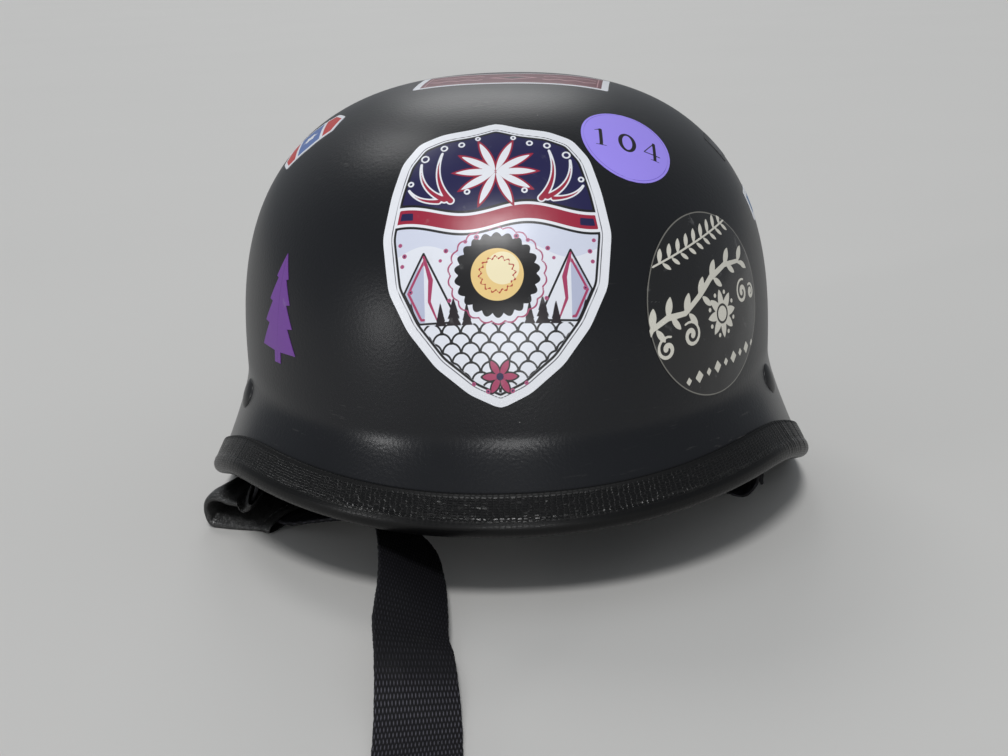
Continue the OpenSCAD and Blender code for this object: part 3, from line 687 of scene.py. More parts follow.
def beside(s, t, a, b):
    """How far along the line from a to b its nearest point lies, from 0 to 1, and the distance to it."""
    ex, ey = b[0] - a[0], b[1] - a[1]
    f = np.clip(((s - a[0]) * ex + (t - a[1]) * ey) / max(ex * ex + ey * ey, 1e-9), 0, 1)
    return f, np.hypot(s - a[0] - ex * f, t - a[1] - ey * f)


def bar(s, t, a, b, r, end=None):
    """A stroke from a to b with round ends, whose half width may change on the way."""
    f, away = beside(s, t, a, b)
    return away - (r if end is None else r + (end - r) * f)


def stroke(s, t, points, r):
    """A pen line through points, its half width one number or one for each point."""
    r = np.broadcast_to(r, len(points))
    return union(*(bar(s, t, a, b, p, q) for a, b, p, q in zip(points, points[1:], r, r[1:])))


def polygon(s, t, corners):
    inside = np.zeros(np.shape(s), bool)
    near = np.full(np.shape(s), 1e9)
    for (x0, y0), (x1, y1) in zip(corners, list(corners[1:]) + [corners[0]]):
        near = np.minimum(near, beside(s, t, (x0, y0), (x1, y1))[1])
        if y0 != y1:
            inside ^= ((y0 > t) != (y1 > t)) & (s < (x1 - x0) * (t - y0) / (y1 - y0) + x0)
    return np.where(inside, -near, near)


def leaf(s, t, x, y, angle, length, width):
    """A pointed leaf that grows from a point along an angle in degrees."""
    c, n = math.cos(math.radians(angle)), math.sin(math.radians(angle))
    p, q = (s - x) * c + (t - y) * n, (t - y) * c - (s - x) * n
    r = (length * length + width * width) / (4 * width)
    off = r - width / 2
    return np.maximum(np.hypot(p - length / 2, q - off) - r, np.hypot(p - length / 2, q + off) - r)


def star(s, t, r, points, inner):
    """A star round the middle, whose notches lie at a share of its radius."""
    corners = []
    for k in range(2 * points):
        a = math.radians(90 + 180 * k / points)
        d = r if k % 2 == 0 else r * inner
        corners.append((d * math.cos(a), d * math.sin(a)))
    return polygon(s, t, corners)


def spiral(x, y, r, start, turns, count=26):
    """Points of a line that winds in to a centre, from an angle in degrees."""
    f = np.linspace(0, 1, count)
    a = np.radians(start) + 2 * np.pi * turns * f
    d = r * (1 - 0.86 * f)
    return [(x + p, y + q) for p, q in zip(d * np.cos(a), d * np.sin(a))]


def bent(a, b, c, count=14):
    """Points of a curve from a to c that is drawn towards b."""
    return [tuple((1 - f) ** 2 * a[k] + 2 * f * (1 - f) * b[k] + f * f * c[k] for k in (0, 1))
            for f in np.linspace(0, 1, count)]


def both_sides(half):
    """An outline from its right half, given from the top down."""
    return half + [(-x, y) for x, y in half[::-1] if x]


def union(*shapes):
    return np.minimum.reduce(shapes)


def overlap(*shapes):
    return np.maximum.reduce(shapes)


def rounded(corners, radius):
    """A closed outline through corners with its turns eased."""
    p = np.array(list(corners) + [corners[0]], float)
    run = lengths(p)
    count = max(120, int(run[-1] / 0.5))
    s = np.linspace(0, run[-1], count, endpoint=False)
    even = sampled(s, run, p)
    reach = max(1, int(radius / (run[-1] / count)))
    weights = np.hanning(2 * reach + 3)[1:-1]
    weights /= weights.sum()
    eased = sum(w * np.roll(even, k - reach, 0) for k, w in enumerate(weights))
    return [tuple(q) for q in eased]


def round_outline(x, y, wide, high):
    t = circle(240)
    return list(zip(x + wide * np.cos(t), y + high * np.sin(t)))


# Laying stickers on the dome
def beyond_dome(p):
    x, y, z = p[..., 0], p[..., 1], p[..., 2]
    level = (np.abs(x) / HALF_W) ** PLAN_N + (np.abs(y) / half_len(y)) ** PLAN_N
    return level ** (DOME_N / PLAN_N) + (np.maximum(0, z - WAIST_Z) / DOME_H) ** DOME_N - 1


def dome_normal(p):
    p = np.asarray(p, float)
    step = np.eye(3) * 1e-3
    return unit(np.stack([beyond_dome(p + step[k]) - beyond_dome(p - step[k]) for k in range(3)], -1))


def on_dome(flat, centre, turn=0.0):
    """Carries points of a sticker's own plane on to the dome, along the normal at its centre."""
    n = dome_normal(centre)
    right = unit(np.cross([0, 0, 1], n)) if n[2] < 0.99 else np.array([1.0, 0, 0])
    up = np.cross(n, right)
    c, k = math.cos(math.radians(turn)), math.sin(math.radians(turn))
    right, up = right * c + up * k, up * c - right * k
    start = centre + flat[..., :1] * right + flat[..., 1:] * up
    low, high = np.full(flat.shape[:-1], -60.0), np.full(flat.shape[:-1], 12.0)
    for _ in range(36):
        middle = (low + high) / 2
        inside = beyond_dome(start + middle[..., None] * n) < 0
        low, high = np.where(inside, middle, low), np.where(inside, high, middle)
    return start + middle[..., None] * n


FILM_T, FILM_BACK = 0.18, -0.05  # heights of a printed film's face and back over the shell, in millimetres


def sticker(name, centre, corners, art, base, layers, rough, turn, cell, ruffle=0.04):
    """A film laid on the dome: front, edges and back in one closed skin, with the art's fields at its points."""
    outline = np.array(list(corners) + [corners[0]])
    top, bottom = outline[:, 1].max() - 0.01, outline[:, 1].min() + 0.01
    rows = max(8, int((top - bottom) / cell))
    t = np.linspace(bottom, top, rows)
    a, b = outline[:-1], outline[1:]
    f = (t[:, None] - a[:, 1]) / np.where(a[:, 1] == b[:, 1], 1e-9, b[:, 1] - a[:, 1])
    cross = a[:, 0] + (b[:, 0] - a[:, 0]) * f
    hit = (f >= 0) & (f <= 1)
    left = np.where(hit, cross, 1e9).min(1)
    right = np.where(hit, cross, -1e9).max(1)
    across = max(8, int((right - left).max() / cell))
    share = np.concatenate([np.linspace(0, 1, across), np.linspace(1, 0, 14)])
    s = left[:, None] + (right - left)[:, None] * share
    flat = np.stack([s, np.repeat(t[:, None], s.shape[1], 1)], -1)
    skin = on_dome(flat, np.asarray(centre, float), turn)
    lift = np.where(np.arange(s.shape[1]) < across, FILM_T, FILM_BACK)
    waves = np.array([[noise.noise((u * 0.12, v * 0.12, 3.0)) for u, v in row[::6]] for row in flat])
    waves = np.stack([np.interp(np.arange(s.shape[1]), np.arange(0, s.shape[1], 6), row) for row in waves])
    skin += dome_normal(skin) * (lift + np.where(lift > 0, waves * ruffle, 0))[..., None]
    fields = {key: np.pad(value, ((1, 1), (0, 0)), "edge") for key, value in art(flat[..., 0], flat[..., 1]).items()}
    piece = lofted(name + "_sticker", with_ends(skin), fields=fields)
    fit_out(piece, "helmet", print_material(name + "_print", base, layers, rough))


WHITE, BLACK = ink(236, 238, 244), ink(18, 17, 20)
NAVY, CRIMSON, LILAC = ink(27, 24, 74), ink(158, 30, 58), ink(214, 219, 236)


def badge_outline():
    half = [
        (0, 54), (9, 51), (18, 49.6), (26, 46), (31.5, 38), (35, 25), (37.8, 10), (36, -8), (30, -21), (21, -33),
        (10, -42), (0, -46.6),
    ]
    return rounded(both_sides(half), 4)


def badge_art(s, t):
    """A crest: an eight-pointed star over a ribbon, a sun with a scalloped ring, peaks, pines and waves."""
    edge = polygon(s, t, badge_outline())
    m = np.abs(s)
    inner = edge + 4.4
    ribbon_mid = 15.5 + 1.8 * np.sin(s / 6.5)
    sky = overlap(inner, ribbon_mid + 4.4 - t)
    land = overlap(inner, t - ribbon_mid + 4.4)
    x, y = 0.0, -4.0
    turn, d = np.arctan2(t - y, s - x), np.hypot(s - x, t - y)
    scallop = np.abs(np.sin(turn * 11))
    peaks = overlap(land, polygon(m, t, [(13, -19), (24, 4), (36, -19)]), -19.5 - t)
    caps = overlap(peaks, 0.5 - t + 2.2 * np.abs(((m - 24) / 2.4) % 2 - 1) - 2.2)
    slope = stroke(m, t, [(24, 3), (21.8, -5), (22.4, -12), (20, -18)], [0.35, 0.8, 0.5, 0.25])
    wave_rows = []
    for k in range(7):
        level = -22.5 - 3.1 * k
        ds = (s + (k % 2) * 3.1 + 62) % 6.2 - 3.1
        arch = np.abs(np.hypot(ds, (t - level) * 0.95) - 2.95) - 0.32
        wave_rows.append(overlap(arch, level - 0.4 - t, t - level - 3.6))
    sea = overlap(land, t + 19.5)
    pines = []
    for px, size in ((14.5, 1.0), (18.8, 0.72), (10.2, 0.7), (28.5, 0.85)):
        for lift, width in ((0, 2.6), (2.2, 2.1), (4.2, 1.5)):
            pines.append(polygon(m, t, [
                (px - width * size, -20 + lift * size), (px + width * size, -20 + lift * size),
                (px, -15.6 + lift * size * 1.15),
            ]))
    rays = union(*(leaf(m, t, 0, 32.5, angle, 13.6, 2.6) for angle in (-66, -30, 0, 30, 66)))
    sprays = union(
        stroke(m, t, bent((15, 22), (21.5, 30), (18, 41)), np.linspace(1.3, 0.3, 14)),
        stroke(m, t, bent((17, 22.5), (26, 27), (25, 37)), np.linspace(1.2, 0.3, 14)),
        stroke(m, t, bent((19, 22), (26, 22), (29, 27)), np.linspace(1.0, 0.3, 14)),
    )
    beads = discs(m, t, (
        (17.4, 43.2, 1.0), (23.8, 39.2, 1.2), (28.4, 29.4, 0.8), (11.5, 44.3, 0.9), (9.5, 25, 0.8), (6, 46.8, 0.7),
    ))
    dots = discs(m, t, (
        (6.5, 8.6, 0.9), (10.2, 7.2, 0.7), (16.6, 4.4, 0.8), (18.5, 1.2, 0.6), (30.4, 3.6, 0.8), (31.2, 0.2, 0.7),
        (15.8, -12, 0.7), (28.6, -8.5, 0.8), (4, -41, 0.8), (8.6, -38.6, 0.7), (31.8, 7.4, 0.7),
    ))
    flower = union(*(leaf(s, t, 0, -36.5, angle, 6.2, 2.6) for angle in range(0, 360, 60)))
    return {
        "b_line": np.abs(edge + 2.9) - 0.16,
        "b_ground": edge + 3.6,
        "b_sky": sky,
        "b_land": land,
        "b_haze": overlap(land, 4.0 - t + 2.5 * np.sin(s / 5)),
        "b_ribbon_edge": overlap(edge + 3.2, np.abs(t - ribbon_mid) - 3.5),
        "b_ribbon": overlap(edge + 4.0, np.abs(t - ribbon_mid) - 2.5),
        "b_fold": overlap(edge + 4.8, np.abs(t - ribbon_mid) - 1.3, 27.5 - m),
        "b_peaks": np.abs(peaks) - 0.35,
        "b_shade": overlap(peaks + 0.4, 24 - m),
        "b_caps": overlap(caps, peaks + 0.6),
        "b_sea": overlap(sea, union(*wave_rows)),
        "b_pines": overlap(union(*pines), land),
        "b_slope": overlap(union(slope, overlap(np.abs(peaks + 1.3) - 0.4, 24 - m)), land),
        "b_ring_line": np.abs(d - 15.2 - scallop * 0.9) - 0.28,
        "b_ring": d - 12.6 - scallop * 1.5,
        "b_sun": d - 8.6,
        "b_sun_light": disc(s, t, x + 1.8, y + 2.0, 5.4),
        "b_sun_rays": overlap(d - 7.9, np.abs(d - 5.6 - 0.5 * np.sin(turn * 16)) - 0.28),
        "b_star_edge": rays - 0.55,
        "b_star": rays + 0.05,
        "b_spray_edge": sprays - 0.15,
        "b_spray": sprays + 0.35,
        "b_beads": np.abs(beads) - 0.3,
        "b_dots": overlap(dots, union(land, edge + 2)),
        "b_dot_cores": union(dots + 0.45, disc(s, t, 0, -36.5, 1.2)),
        "b_flower_edge": flower - 0.25,
        "b_flower": flower + 0.25,
    }


BADGE_LAYERS = (
    ("b_line", ink(60, 58, 70)), ("b_ground", BLACK), ("b_sky", NAVY), ("b_land", ink(232, 235, 244)),
    ("b_haze", LILAC), ("b_shade", ink(186, 192, 216)), ("b_caps", WHITE), ("b_peaks", BLACK),
    ("b_slope", ink(170, 60, 100)), ("b_sea", BLACK), ("b_pines", ink(34, 26, 32)),
    ("b_ring_line", ink(170, 70, 110)), ("b_ring", BLACK), ("b_sun", ink(240, 208, 140)),
    ("b_sun_light", ink(248, 236, 196)), ("b_sun_rays", ink(178, 40, 36)), ("b_ribbon_edge", WHITE),
    ("b_ribbon", CRIMSON), ("b_fold", NAVY), ("b_star_edge", CRIMSON), ("b_star", WHITE), ("b_spray_edge", WHITE),
    ("b_spray", CRIMSON), ("b_beads", WHITE), ("b_flower_edge", BLACK), ("b_flower", ink(170, 60, 100)),
    ("b_dots", ink(176, 84, 124)), ("b_dot_cores", NAVY),
)


def digits_art(s, t):
    """The figures 1, 0 and 4 with thin serifs, and a fine line inside the edge."""
    one = union(
        bar(s, t, (-9.6, -4.6), (-9.6, 4.4), 0.62), bar(s, t, (-9.6, 4.6), (-11.6, 3.6), 0.28, 0.16),
        bar(s, t, (-11.4, -5.0), (-7.8, -5.0), 0.2),
    )
    nought = overlap(np.hypot(s / 0.62, t) * 0.8 - 4.3, 3.0 - np.hypot(s / 0.44, t) * 0.72)
    four = union(
        bar(s, t, (10.4, -4.6), (10.4, 4.6), 0.6), bar(s, t, (10.4, 4.8), (6.4, -1.9), 0.2, 0.2),
        bar(s, t, (6.4, -2.1), (12.4, -2.1), 0.26), bar(s, t, (8.8, -5.0), (12.0, -5.0), 0.2),
    )
    edge = polygon(s, t, round_outline(0, 0, 16.6, 19.4))
    return {"d_line": np.abs(edge + 0.9) - 0.14, "d_figures": union(one, nought, four)}


def wreath_art(s, t):
    """Leaf sprays, winding tendrils, a rosette and rows of diamonds in one light ink."""
    shapes = []
    for k in range(9):
        x, y = -14 + 4.6 * k, 17.2 + 0.75 * k
        shapes += [leaf(s, t, x, y, 62, 5.2, 1.9), leaf(s, t, x + 1.2, y - 0.4, -42, 4.2, 1.5)]
    shapes.append(stroke(s, t, [(-17, 16.6), (4, 20.0), (27, 23.6)], 0.32))
    vine = [(-27, -9), (-23, -3.5), (-16, -1.2), (-8, -1.6), (0, 2.4), (8, 7.0), (18, 9.4), (28, 8.6), (34, 5)]
    shapes.append(stroke(s, t, vine, [0.4, 0.9, 1.1, 0.9, 1.0, 1.1, 0.9, 0.7, 0.4]))
    for k, (x, y) in enumerate(vine[1:-1]):
        shapes += [leaf(s, t, x, y, 74 - 6 * k, 7.2, 2.9), leaf(s, t, x + 1.5, y - 0.4, -58 + 4 * k, 6.0, 2.3)]
    for x, y, r, start, turns in (
        (-18, -11.5, 4.4, 60, 1.3), (-6.5, -9.5, 4.8, 120, -1.4), (27.5, -2.5, 4.6, 60, 1.4), (35, -4, 3.0, 120, -1.2),
        (-24, -14.5, 2.6, 200, 1.2),
    ):
        shapes.append(stroke(s, t, spiral(x, y, r, start, turns), np.linspace(0.35, 1.0, 26)))
    for angle in range(0, 360, 45):
        shapes.append(leaf(s, t, 11.5, -6.5, angle, 8.6, 3.2))
        c, n = math.cos(math.radians(angle + 22.5)), math.sin(math.radians(angle + 22.5))
        shapes.append(disc(s, t, 11.5 + 7.6 * c, -6.5 + 7.6 * n, 0.75))
    rosette_gap = np.abs(np.hypot(s - 11.5, t + 6.5) - 3.1) - 0.42
    for k in range(9):
        x, y = -9.5 + 5.2 * k, -25.2 + 0.35 * k
        shapes.append((np.abs(s - x) * 1.1 + np.abs(t - y) - (2.3 if k % 2 else 1.5)) * 0.7)
    rim = np.hypot(s - 8, t + 2) - 32
    return {
        "w_rim": np.abs(rim + 0.35) - 0.2,
        "w_art": overlap(union(*shapes), -rosette_gap),
        "w_tick": union(bar(s, t, (-23.6, 6.4), (-18, 4.9), 0.1), bar(s, t, (8, 29.8), (8.6, 23.8), 0.06)),
    }


def chevron_art(s, t):
    """A bordered panel with a diamond between two rows of chevrons."""
    panel = overlap(np.abs(s) - 34.4, np.abs(t) - 16.6)
    zigzag = np.abs((np.abs(s) % 7.0) - 3.5)
    chevrons = overlap(np.abs(np.abs(t) - 4.0 - zigzag * 0.9) - 0.75, 11.5 - np.abs(s), np.abs(s) - 32)
    diamond = np.abs(s) * 0.75 + np.abs(t) - 6.4
    return {
        "c_panel": panel, "c_line": np.abs(panel + 1.5) - 0.28, "c_art": union(chevrons, np.abs(diamond) - 0.7),
        "c_core": diamond + 2.6,
    }


def stripes_art(s, t):
    """Red and blue bands across a white-edged lozenge."""
    edge = polygon(s, t, stripes_outline())
    inner = edge + 1.5
    return {
        "h_red": overlap(inner, 6.8 - np.abs(t)), "h_blue": overlap(inner, np.abs(t) - 5.4),
        "h_line": overlap(inner, np.abs(np.abs(t) - 6.1) - 0.35), "h_star": star(s, t, 3.8, 6, 0.55),
    }


def stripes_outline():
    return rounded(both_sides([(0, 16), (11, 11.8), (12.5, 0), (11, -11.8), (0, -14.6)]), 1.2)


def conifer_outline():
    return both_sides([
        (0, 19.5), (4.4, 10.5), (2.6, 10.8), (7.4, 2.0), (4.6, 2.4), (10.0, -6.2), (6.4, -5.8), (12.2, -15.2),
        (2.1, -14.2), (2.1, -19.6),
    ])


class HELMET_OT_stickers(bpy.types.Operator):
    """Lay the printed stickers on the dome"""

    bl_idname = "helmet.stickers"
    bl_label = "Stickers"

    def execute(self, context):
        sticker(
            "crest", (-1.5, -112.7, 115.8), badge_outline(), badge_art, WHITE, BADGE_LAYERS, 0.27, turn=0, cell=0.42,
            ruffle=0.1,
        )
        sticker(
            "number", (44.2, -69.4, 146.9), round_outline(0, 0, 16.6, 19.4), digits_art, ink(164, 146, 250),
            (("d_line", ink(126, 106, 214)), ("d_figures", BLACK)), 0.5, turn=-36, cell=0.36,
        )
        sticker(
            "wreath", (66.9, -93.6, 95.2), round_outline(8, -2, 32, 32), wreath_art, (0.011, 0.011, 0.012),
            (("w_rim", ink(120, 118, 112)), ("w_tick", ink(96, 96, 96)), ("w_art", ink(216, 213, 202))), 0.16,
            turn=3, cell=0.4, ruffle=0.12,
        )
        sticker(
            "conifer", (-79.2, -79.5, 94.3), conifer_outline(), lambda s, t: {"t_veins": np.abs(s) - 0.2},
            ink(112, 62, 150), (("t_veins", ink(98, 52, 134)),), 0.42, turn=0, cell=0.5,
        )
        panel = rounded([(-37, -18), (37, -18), (37, 18), (-37, 18)], 0.8)
        sticker(
            "panel", (5.4, -1.4, 163.9), panel, chevron_art, WHITE,
            (("c_panel", ink(104, 30, 48)), ("c_line", ink(196, 150, 156)), ("c_art", ink(206, 160, 166)),
             ("c_core", ink(34, 20, 26))), 0.3, turn=-4.7, cell=0.6,
        )
        sticker(
            "lozenge", (-72.0, -23.6, 146.0), stripes_outline(), stripes_art, WHITE,
            (("h_red", ink(196, 52, 48)), ("h_blue", ink(88, 116, 176)), ("h_line", WHITE), ("h_star", WHITE)), 0.3,
            turn=-14, cell=0.5,
        )
        plate = rounded([(-9, -6), (9, -6), (9, 6), (-9, 6)], 1.5)
        for name, centre, base, core in (
            ("dark", (82.0, -16.0, 137.4), BLACK, ink(60, 60, 66)),
            ("light", (94.4, -20.5, 116.0), WHITE, ink(60, 110, 160)),
        ):
            sticker(
                name, centre, plate, lambda s, t: {"e_core": overlap(np.abs(s) - 6.6, np.abs(t) - 3.4)}, base,
                (("e_core", core),), 0.35, turn=0, cell=0.6,
            )
        return {"FINISHED"}


# Settings that a user would change
def colour_setting(name, description, default):
    return FloatVectorProperty(
        name=name, description=description, subtype="COLOR", size=3, min=0, max=1, default=default
    )


def length_setting(name, description, default):
    return FloatProperty(name=name, description=description, unit="LENGTH", min=0, default=default)


class HelmetLooks(bpy.types.PropertyGroup):
    shell: colour_setting("Shell", "Colour of the matte paint", (0.0062, 0.0068, 0.0088))
    trim: colour_setting("Trim", "Colour of the edge trim", (0.006, 0.006, 0.0066))
    foam: colour_setting("Foam", "Colour of the foam liner", (0.022, 0.022, 0.023))
    pad: colour_setting("Pads", "Colour of the pads' knit", (0.014, 0.014, 0.016))
    webbing: colour_setting("Webbing", "Colour of the straps", (0.0105, 0.0102, 0.0135))
    leather: colour_setting("Sleeves", "Colour of the leatherette", (0.013, 0.013, 0.013))
    thread: colour_setting("Thread", "Colour of the stitching", (0.03, 0.03, 0.03))
    dust: colour_setting("Dust", "Colour of dust and worn places", (0.42, 0.41, 0.39))
    black_steel: colour_setting("Black steel", "Colour of painted steel", (0.008, 0.008, 0.009))
    bare_steel: colour_setting("Bare steel", "Colour of plated steel", (0.62, 0.62, 0.64))
    dash_length: length_setting("Dash length", "Length of a dash in the trim's grain", 0.0019)
    dash_rise: length_setting("Dash rise", "Distance between the grain's rows", 0.0009)
    dash_gap: length_setting("Dash gap", "Width of the grain's grooves", 0.0002)
    crease_pitch: length_setting("Crease pitch", "Distance between creases at the corners", 0.0016)
    warp_pitch: length_setting("Warp pitch", "Distance between the webbing's warp yarns", 0.00106)
    weft_pitch: length_setting("Weft pitch", "Distance between the webbing's rows", 0.0054)


class HelmetDetail(bpy.types.PropertyGroup):
    around: IntProperty(name="Around", description="Points round the shell", default=240, min=48)
    dome_rows: IntProperty(name="Dome rows", description="Rows of points up the dome", default=64, min=12)
    web_step: length_setting("Webbing step", "Distance between points along the webbing", 0.0006)
    web_cell: length_setting("Webbing cell", "Distance between points across the webbing", 0.00043)
    pad_cell: length_setting("Pad cell", "Size of the cells of the pads' cloth", 0.004)
    pad_swell: length_setting("Pad swell", "How far the pads may swell", 0.0012)


class HelmetStage(bpy.types.PropertyGroup):
    floor: colour_setting("Floor", "Colour of the floor", (0.66, 0.65, 0.63))
    back: FloatProperty(name="Back light", description="Strength of the light from behind", default=0.32, min=0)
    front: FloatProperty(name="Front light", description="Strength of the light in front", default=1.35, min=0)
    sky: FloatProperty(name="Sky", description="Strength of the light from all round", default=0.3, min=0)


def settings():
    scene = bpy.context.scene
    return scene.helmet_looks, scene.helmet_detail, scene.helmet_stage


# Shell, trim and liner
class HELMET_OT_shell(bpy.types.Operator):
    """Lay the shell's outer and inner skins over rings round the dome and the flare"""

    bl_idname = "helmet.shell"
    bl_label = "Shell"

    def execute(self, context):
        looks, detail, _ = settings()
        a = round_angles(detail.around)
        share = np.linspace(1, 0, detail.dome_rows + 1)
        tilt = share**1.4 / (share**1.4 + (1 - share) ** 1.4) * math.pi / 2
        steps = np.linspace(0, 1, 25)[1:]
        rings = [dome_pt(a, t, 0, 0) for t in tilt] + [flare_pt(a, f, 0) for f in steps]
        rings += [flare_pt(a, f, -WALL) for f in steps[::-1]]
        rings += [dome_pt(a, t, WALL, WALL) for t in tilt[::-1]]
        fit_out(lofted("shell_skin", rings), "helmet", shell_material(looks), ["shell"])
        return {"FINISHED"}


def round_angles(count):
    a = np.linspace(-np.pi, np.pi, count, endpoint=False)
    return a + math.radians(2.9) * np.cos(a)


def trim_section():
    """The trim's section, as distances up from the rim and off the shell's face, from the face round the bead."""
    off = BEAD_R - WALL / 2
    face = [
        (TRIM_FACE, TRIM_GAP), (TRIM_FACE, 1.0), (TRIM_FACE - 0.07, 1.26), (TRIM_FACE - 0.24, 1.46),
        (TRIM_FACE - 0.5, 1.6), (TRIM_FACE - 0.9, 1.7), (7.2, 1.8), (6.2, 1.88), (5.2, 1.94), (4.2, 1.98),
        (3.2, 2.03), (2.2, 2.07), (1.7, 2.09), (1.3, 2.12), (0.9, 2.19), (0.5, 2.3), (0.1, 2.38), (-0.5, 2.42),
    ]
    arc = np.radians(np.linspace(0, 180, 25))
    bead = [(BEAD_UP - BEAD_R * math.sin(t), BEAD_R * math.cos(t) - WALL / 2) for t in arc]
    inside = [
        (0.2, -off - 3.4), (2, -off - 3.2), (5, -WALL - TRIM_GAP - 1.35), (TRIM_LIP - 0.3, -WALL - LIP_T),
        (TRIM_LIP, -WALL - TRIM_GAP - 0.7), (TRIM_LIP, -WALL - TRIM_GAP), (TRIM_LIP / 2, -WALL - TRIM_GAP),
        (-TRIM_GAP, -WALL - TRIM_GAP), (-TRIM_GAP, TRIM_GAP), (4.5, TRIM_GAP),
    ]
    return np.array(face + bead + inside), len(face), len(bead)


CORNERS = ((-48, -10), (-172, -132))  # where the trim turns, in degrees round the helmet
CREASES = ((-27, 8, 1.0), (-152, 9, 0.4))  # middle and reach of the creases there in degrees, and their strength
CREASE_EVERY, CREASE_DEPTH = 1.3, 0.42  # in degrees and millimetres


class HELMET_OT_trim(bpy.types.Operator):
    """Wrap the grained trim and its bead round the rim"""

    bl_idname = "helmet.trim"
    bl_label = "Edge trim"

    def execute(self, context):
        looks, detail, _ = settings()
        dense = [np.arange(low, high, math.radians(0.2)) for low, high in np.radians(CORNERS)]
        a = np.unique(np.concatenate([round_angles(detail.around * 2)] + dense))
        a = a[np.concatenate([[True], np.diff(a) > math.radians(0.05)])]
        section, face, bead = trim_section()
        rings = edge_pt(a[:, None], section[:, 0], section[:, 1])
        rings[..., 2] = np.maximum(rings[..., 2], 0.03)
        degrees = np.degrees(a)
        crease = sum(deep * np.exp(-(((degrees - middle) / far) ** 4)) for middle, far, deep in CREASES)
        bumpy = np.array([noise.noise((d * 0.7, 0.3, 0.0)) for d in degrees])
        fold = np.abs(np.sin(math.pi * (degrees + bumpy * 0.7) / CREASE_EVERY)) ** 0.5 - 0.8
        places = np.arange(len(section))
        reach = np.clip((face + 10 - places) / 10, 0, 1) * (places > 0)
        rings += plan3(plan_out(a))[:, None] * ((crease * fold * CREASE_DEPTH)[:, None] * reach)[..., None]
        # Places without grain: the top lip and the bead, which the material also paints darker, as shade on the bead.
        plain = (places < 6) | ((places >= face - 1) & (places < face + bead))
        ridge = np.exp(-(((places - face + 3.5) / 2.2) ** 2)) - 2.0 * (places < 6)
        piece = lofted("edge_trim_band", rings, loop=True, fields={
            "creased": crease[:, None] * reach, "bead": np.tile(plain, (len(a), 1)),
            "ridge": np.tile(ridge, (len(a), 1)),
        })
        fit_out(piece, "helmet", trim_material(looks), ["edge_trim"])
        return {"FINISHED"}


class HELMET_OT_liner(bpy.types.Operator):
    """Mould the foam liner inside the shell"""

    bl_idname = "helmet.liner"
    bl_label = "Foam liner"

    def execute(self, context):
        looks, detail, _ = settings()
        a = round_angles(detail.around // 2)
        low, middle = liner_z(a), LINER_BREAK_Z
        outer = WALL + LINER_GAP

        def side(inset, top, rows):
            walls = [liner_pt(a, inset, top, low + (middle - low) * s) for s in np.linspace(0, 1, rows)]
            start = math.asin(((middle - WAIST_Z) / top) ** (DOME_N / 2))
            share = np.linspace(0, 1, rows + 6)[1:] ** 0.8
            crown = [dome_pt(a, start + (math.pi / 2 - start) * s, inset, DOME_H - top) for s in share]
            return walls + crown

        under = []
        for u in np.linspace(0, 1, 11)[1:-1]:
            dip = LINER_ROUND * (1 - abs(2 * u - 1) ** 4) ** 0.25
            top = LINER_TOP_OUT - LINER_CROWN * u
            ring = liner_pt(a, outer + LINER_SIDE * u, top, low)
            ring[:, 2] -= dip
            under.append(ring)
        rings = side(outer, LINER_TOP_OUT, 14)[::-1] + under + side(LINER_IN, LINER_TOP_IN, 14)
        fit_out(lofted("foam_liner", rings), "helmet", foam_material(looks), ["impact_liner"])
        return {"FINISHED"}


# Pads
WALL_PADS = {
    "brow_pad": (270 - 38, 270 + 38, 33.0, 5),
    "nape_pad": (90 - 38, 90 + 38, 36.0, 5),
    "right_temple_pad": (180 - 38, 180 + 42, 36.0, 4),
    "left_temple_pad": (-42, 38, 36.0, 4),
}


FILL_FRAMES = 20  # frames of cloth that fill the pads
FILL_PLAY = 0.0003  # how far a pad may swell towards the liner, in metres


def pad_face(a, z, depth):
    return liner_pt(a, LINER_IN + depth, LINER_TOP_IN - depth, z)


def plan_angle(p):
    """The direction in plan that a point lies in, in radians."""
    x, y = p[..., 0], p[..., 1]
    return np.arctan2(signed_power(y / half_len(y), PLAN_N / 2), signed_power(x / HALF_W, PLAN_N / 2))


AWRY = (0.31, 0.17, 0.93)  # a direction that no cord takes


def tube(name, path, radius, sides=10, loop=False, squeeze=None):
    """A round cord along a path in millimetres, its radius given for each point if squeeze is."""
    along = headings(path, loop)
    right = unit(np.cross(along, AWRY))
    up = np.cross(along, right)
    t = circle(sides)[:, None]
    size = radius * (np.ones(len(path)) if squeeze is None else squeeze)
    rings = path[:, None] + size[:, None, None] * (np.cos(t) * right[:, None] + np.sin(t) * up[:, None])
    return lofted(name, rings, loop=loop)


def stitches(path, normals, pitch, length, radius):
    """A line of stitches whose ends dive into what they are sewn through."""
    run = lengths(path)
    share = np.linspace(0, 1, 6)
    bow = np.sin(np.pi * share)
    points, size = [], []
    for k in range(max(1, int(run[-1] // pitch))):
        s = (k + 0.5) * pitch - length / 2 + share * length
        points.append(sampled(s, run, path) + sampled(s, run, normals) * (bow * 1.1 - 0.35)[:, None] * radius)
        size.append(np.sqrt(np.maximum(0, 1 - (2 * share - 1) ** 4)))
    piece = tube("stitch", np.concatenate(points), radius, 6, squeeze=np.concatenate(size))
    edit(piece, bpy.ops.mesh.delete_loose)
    return piece


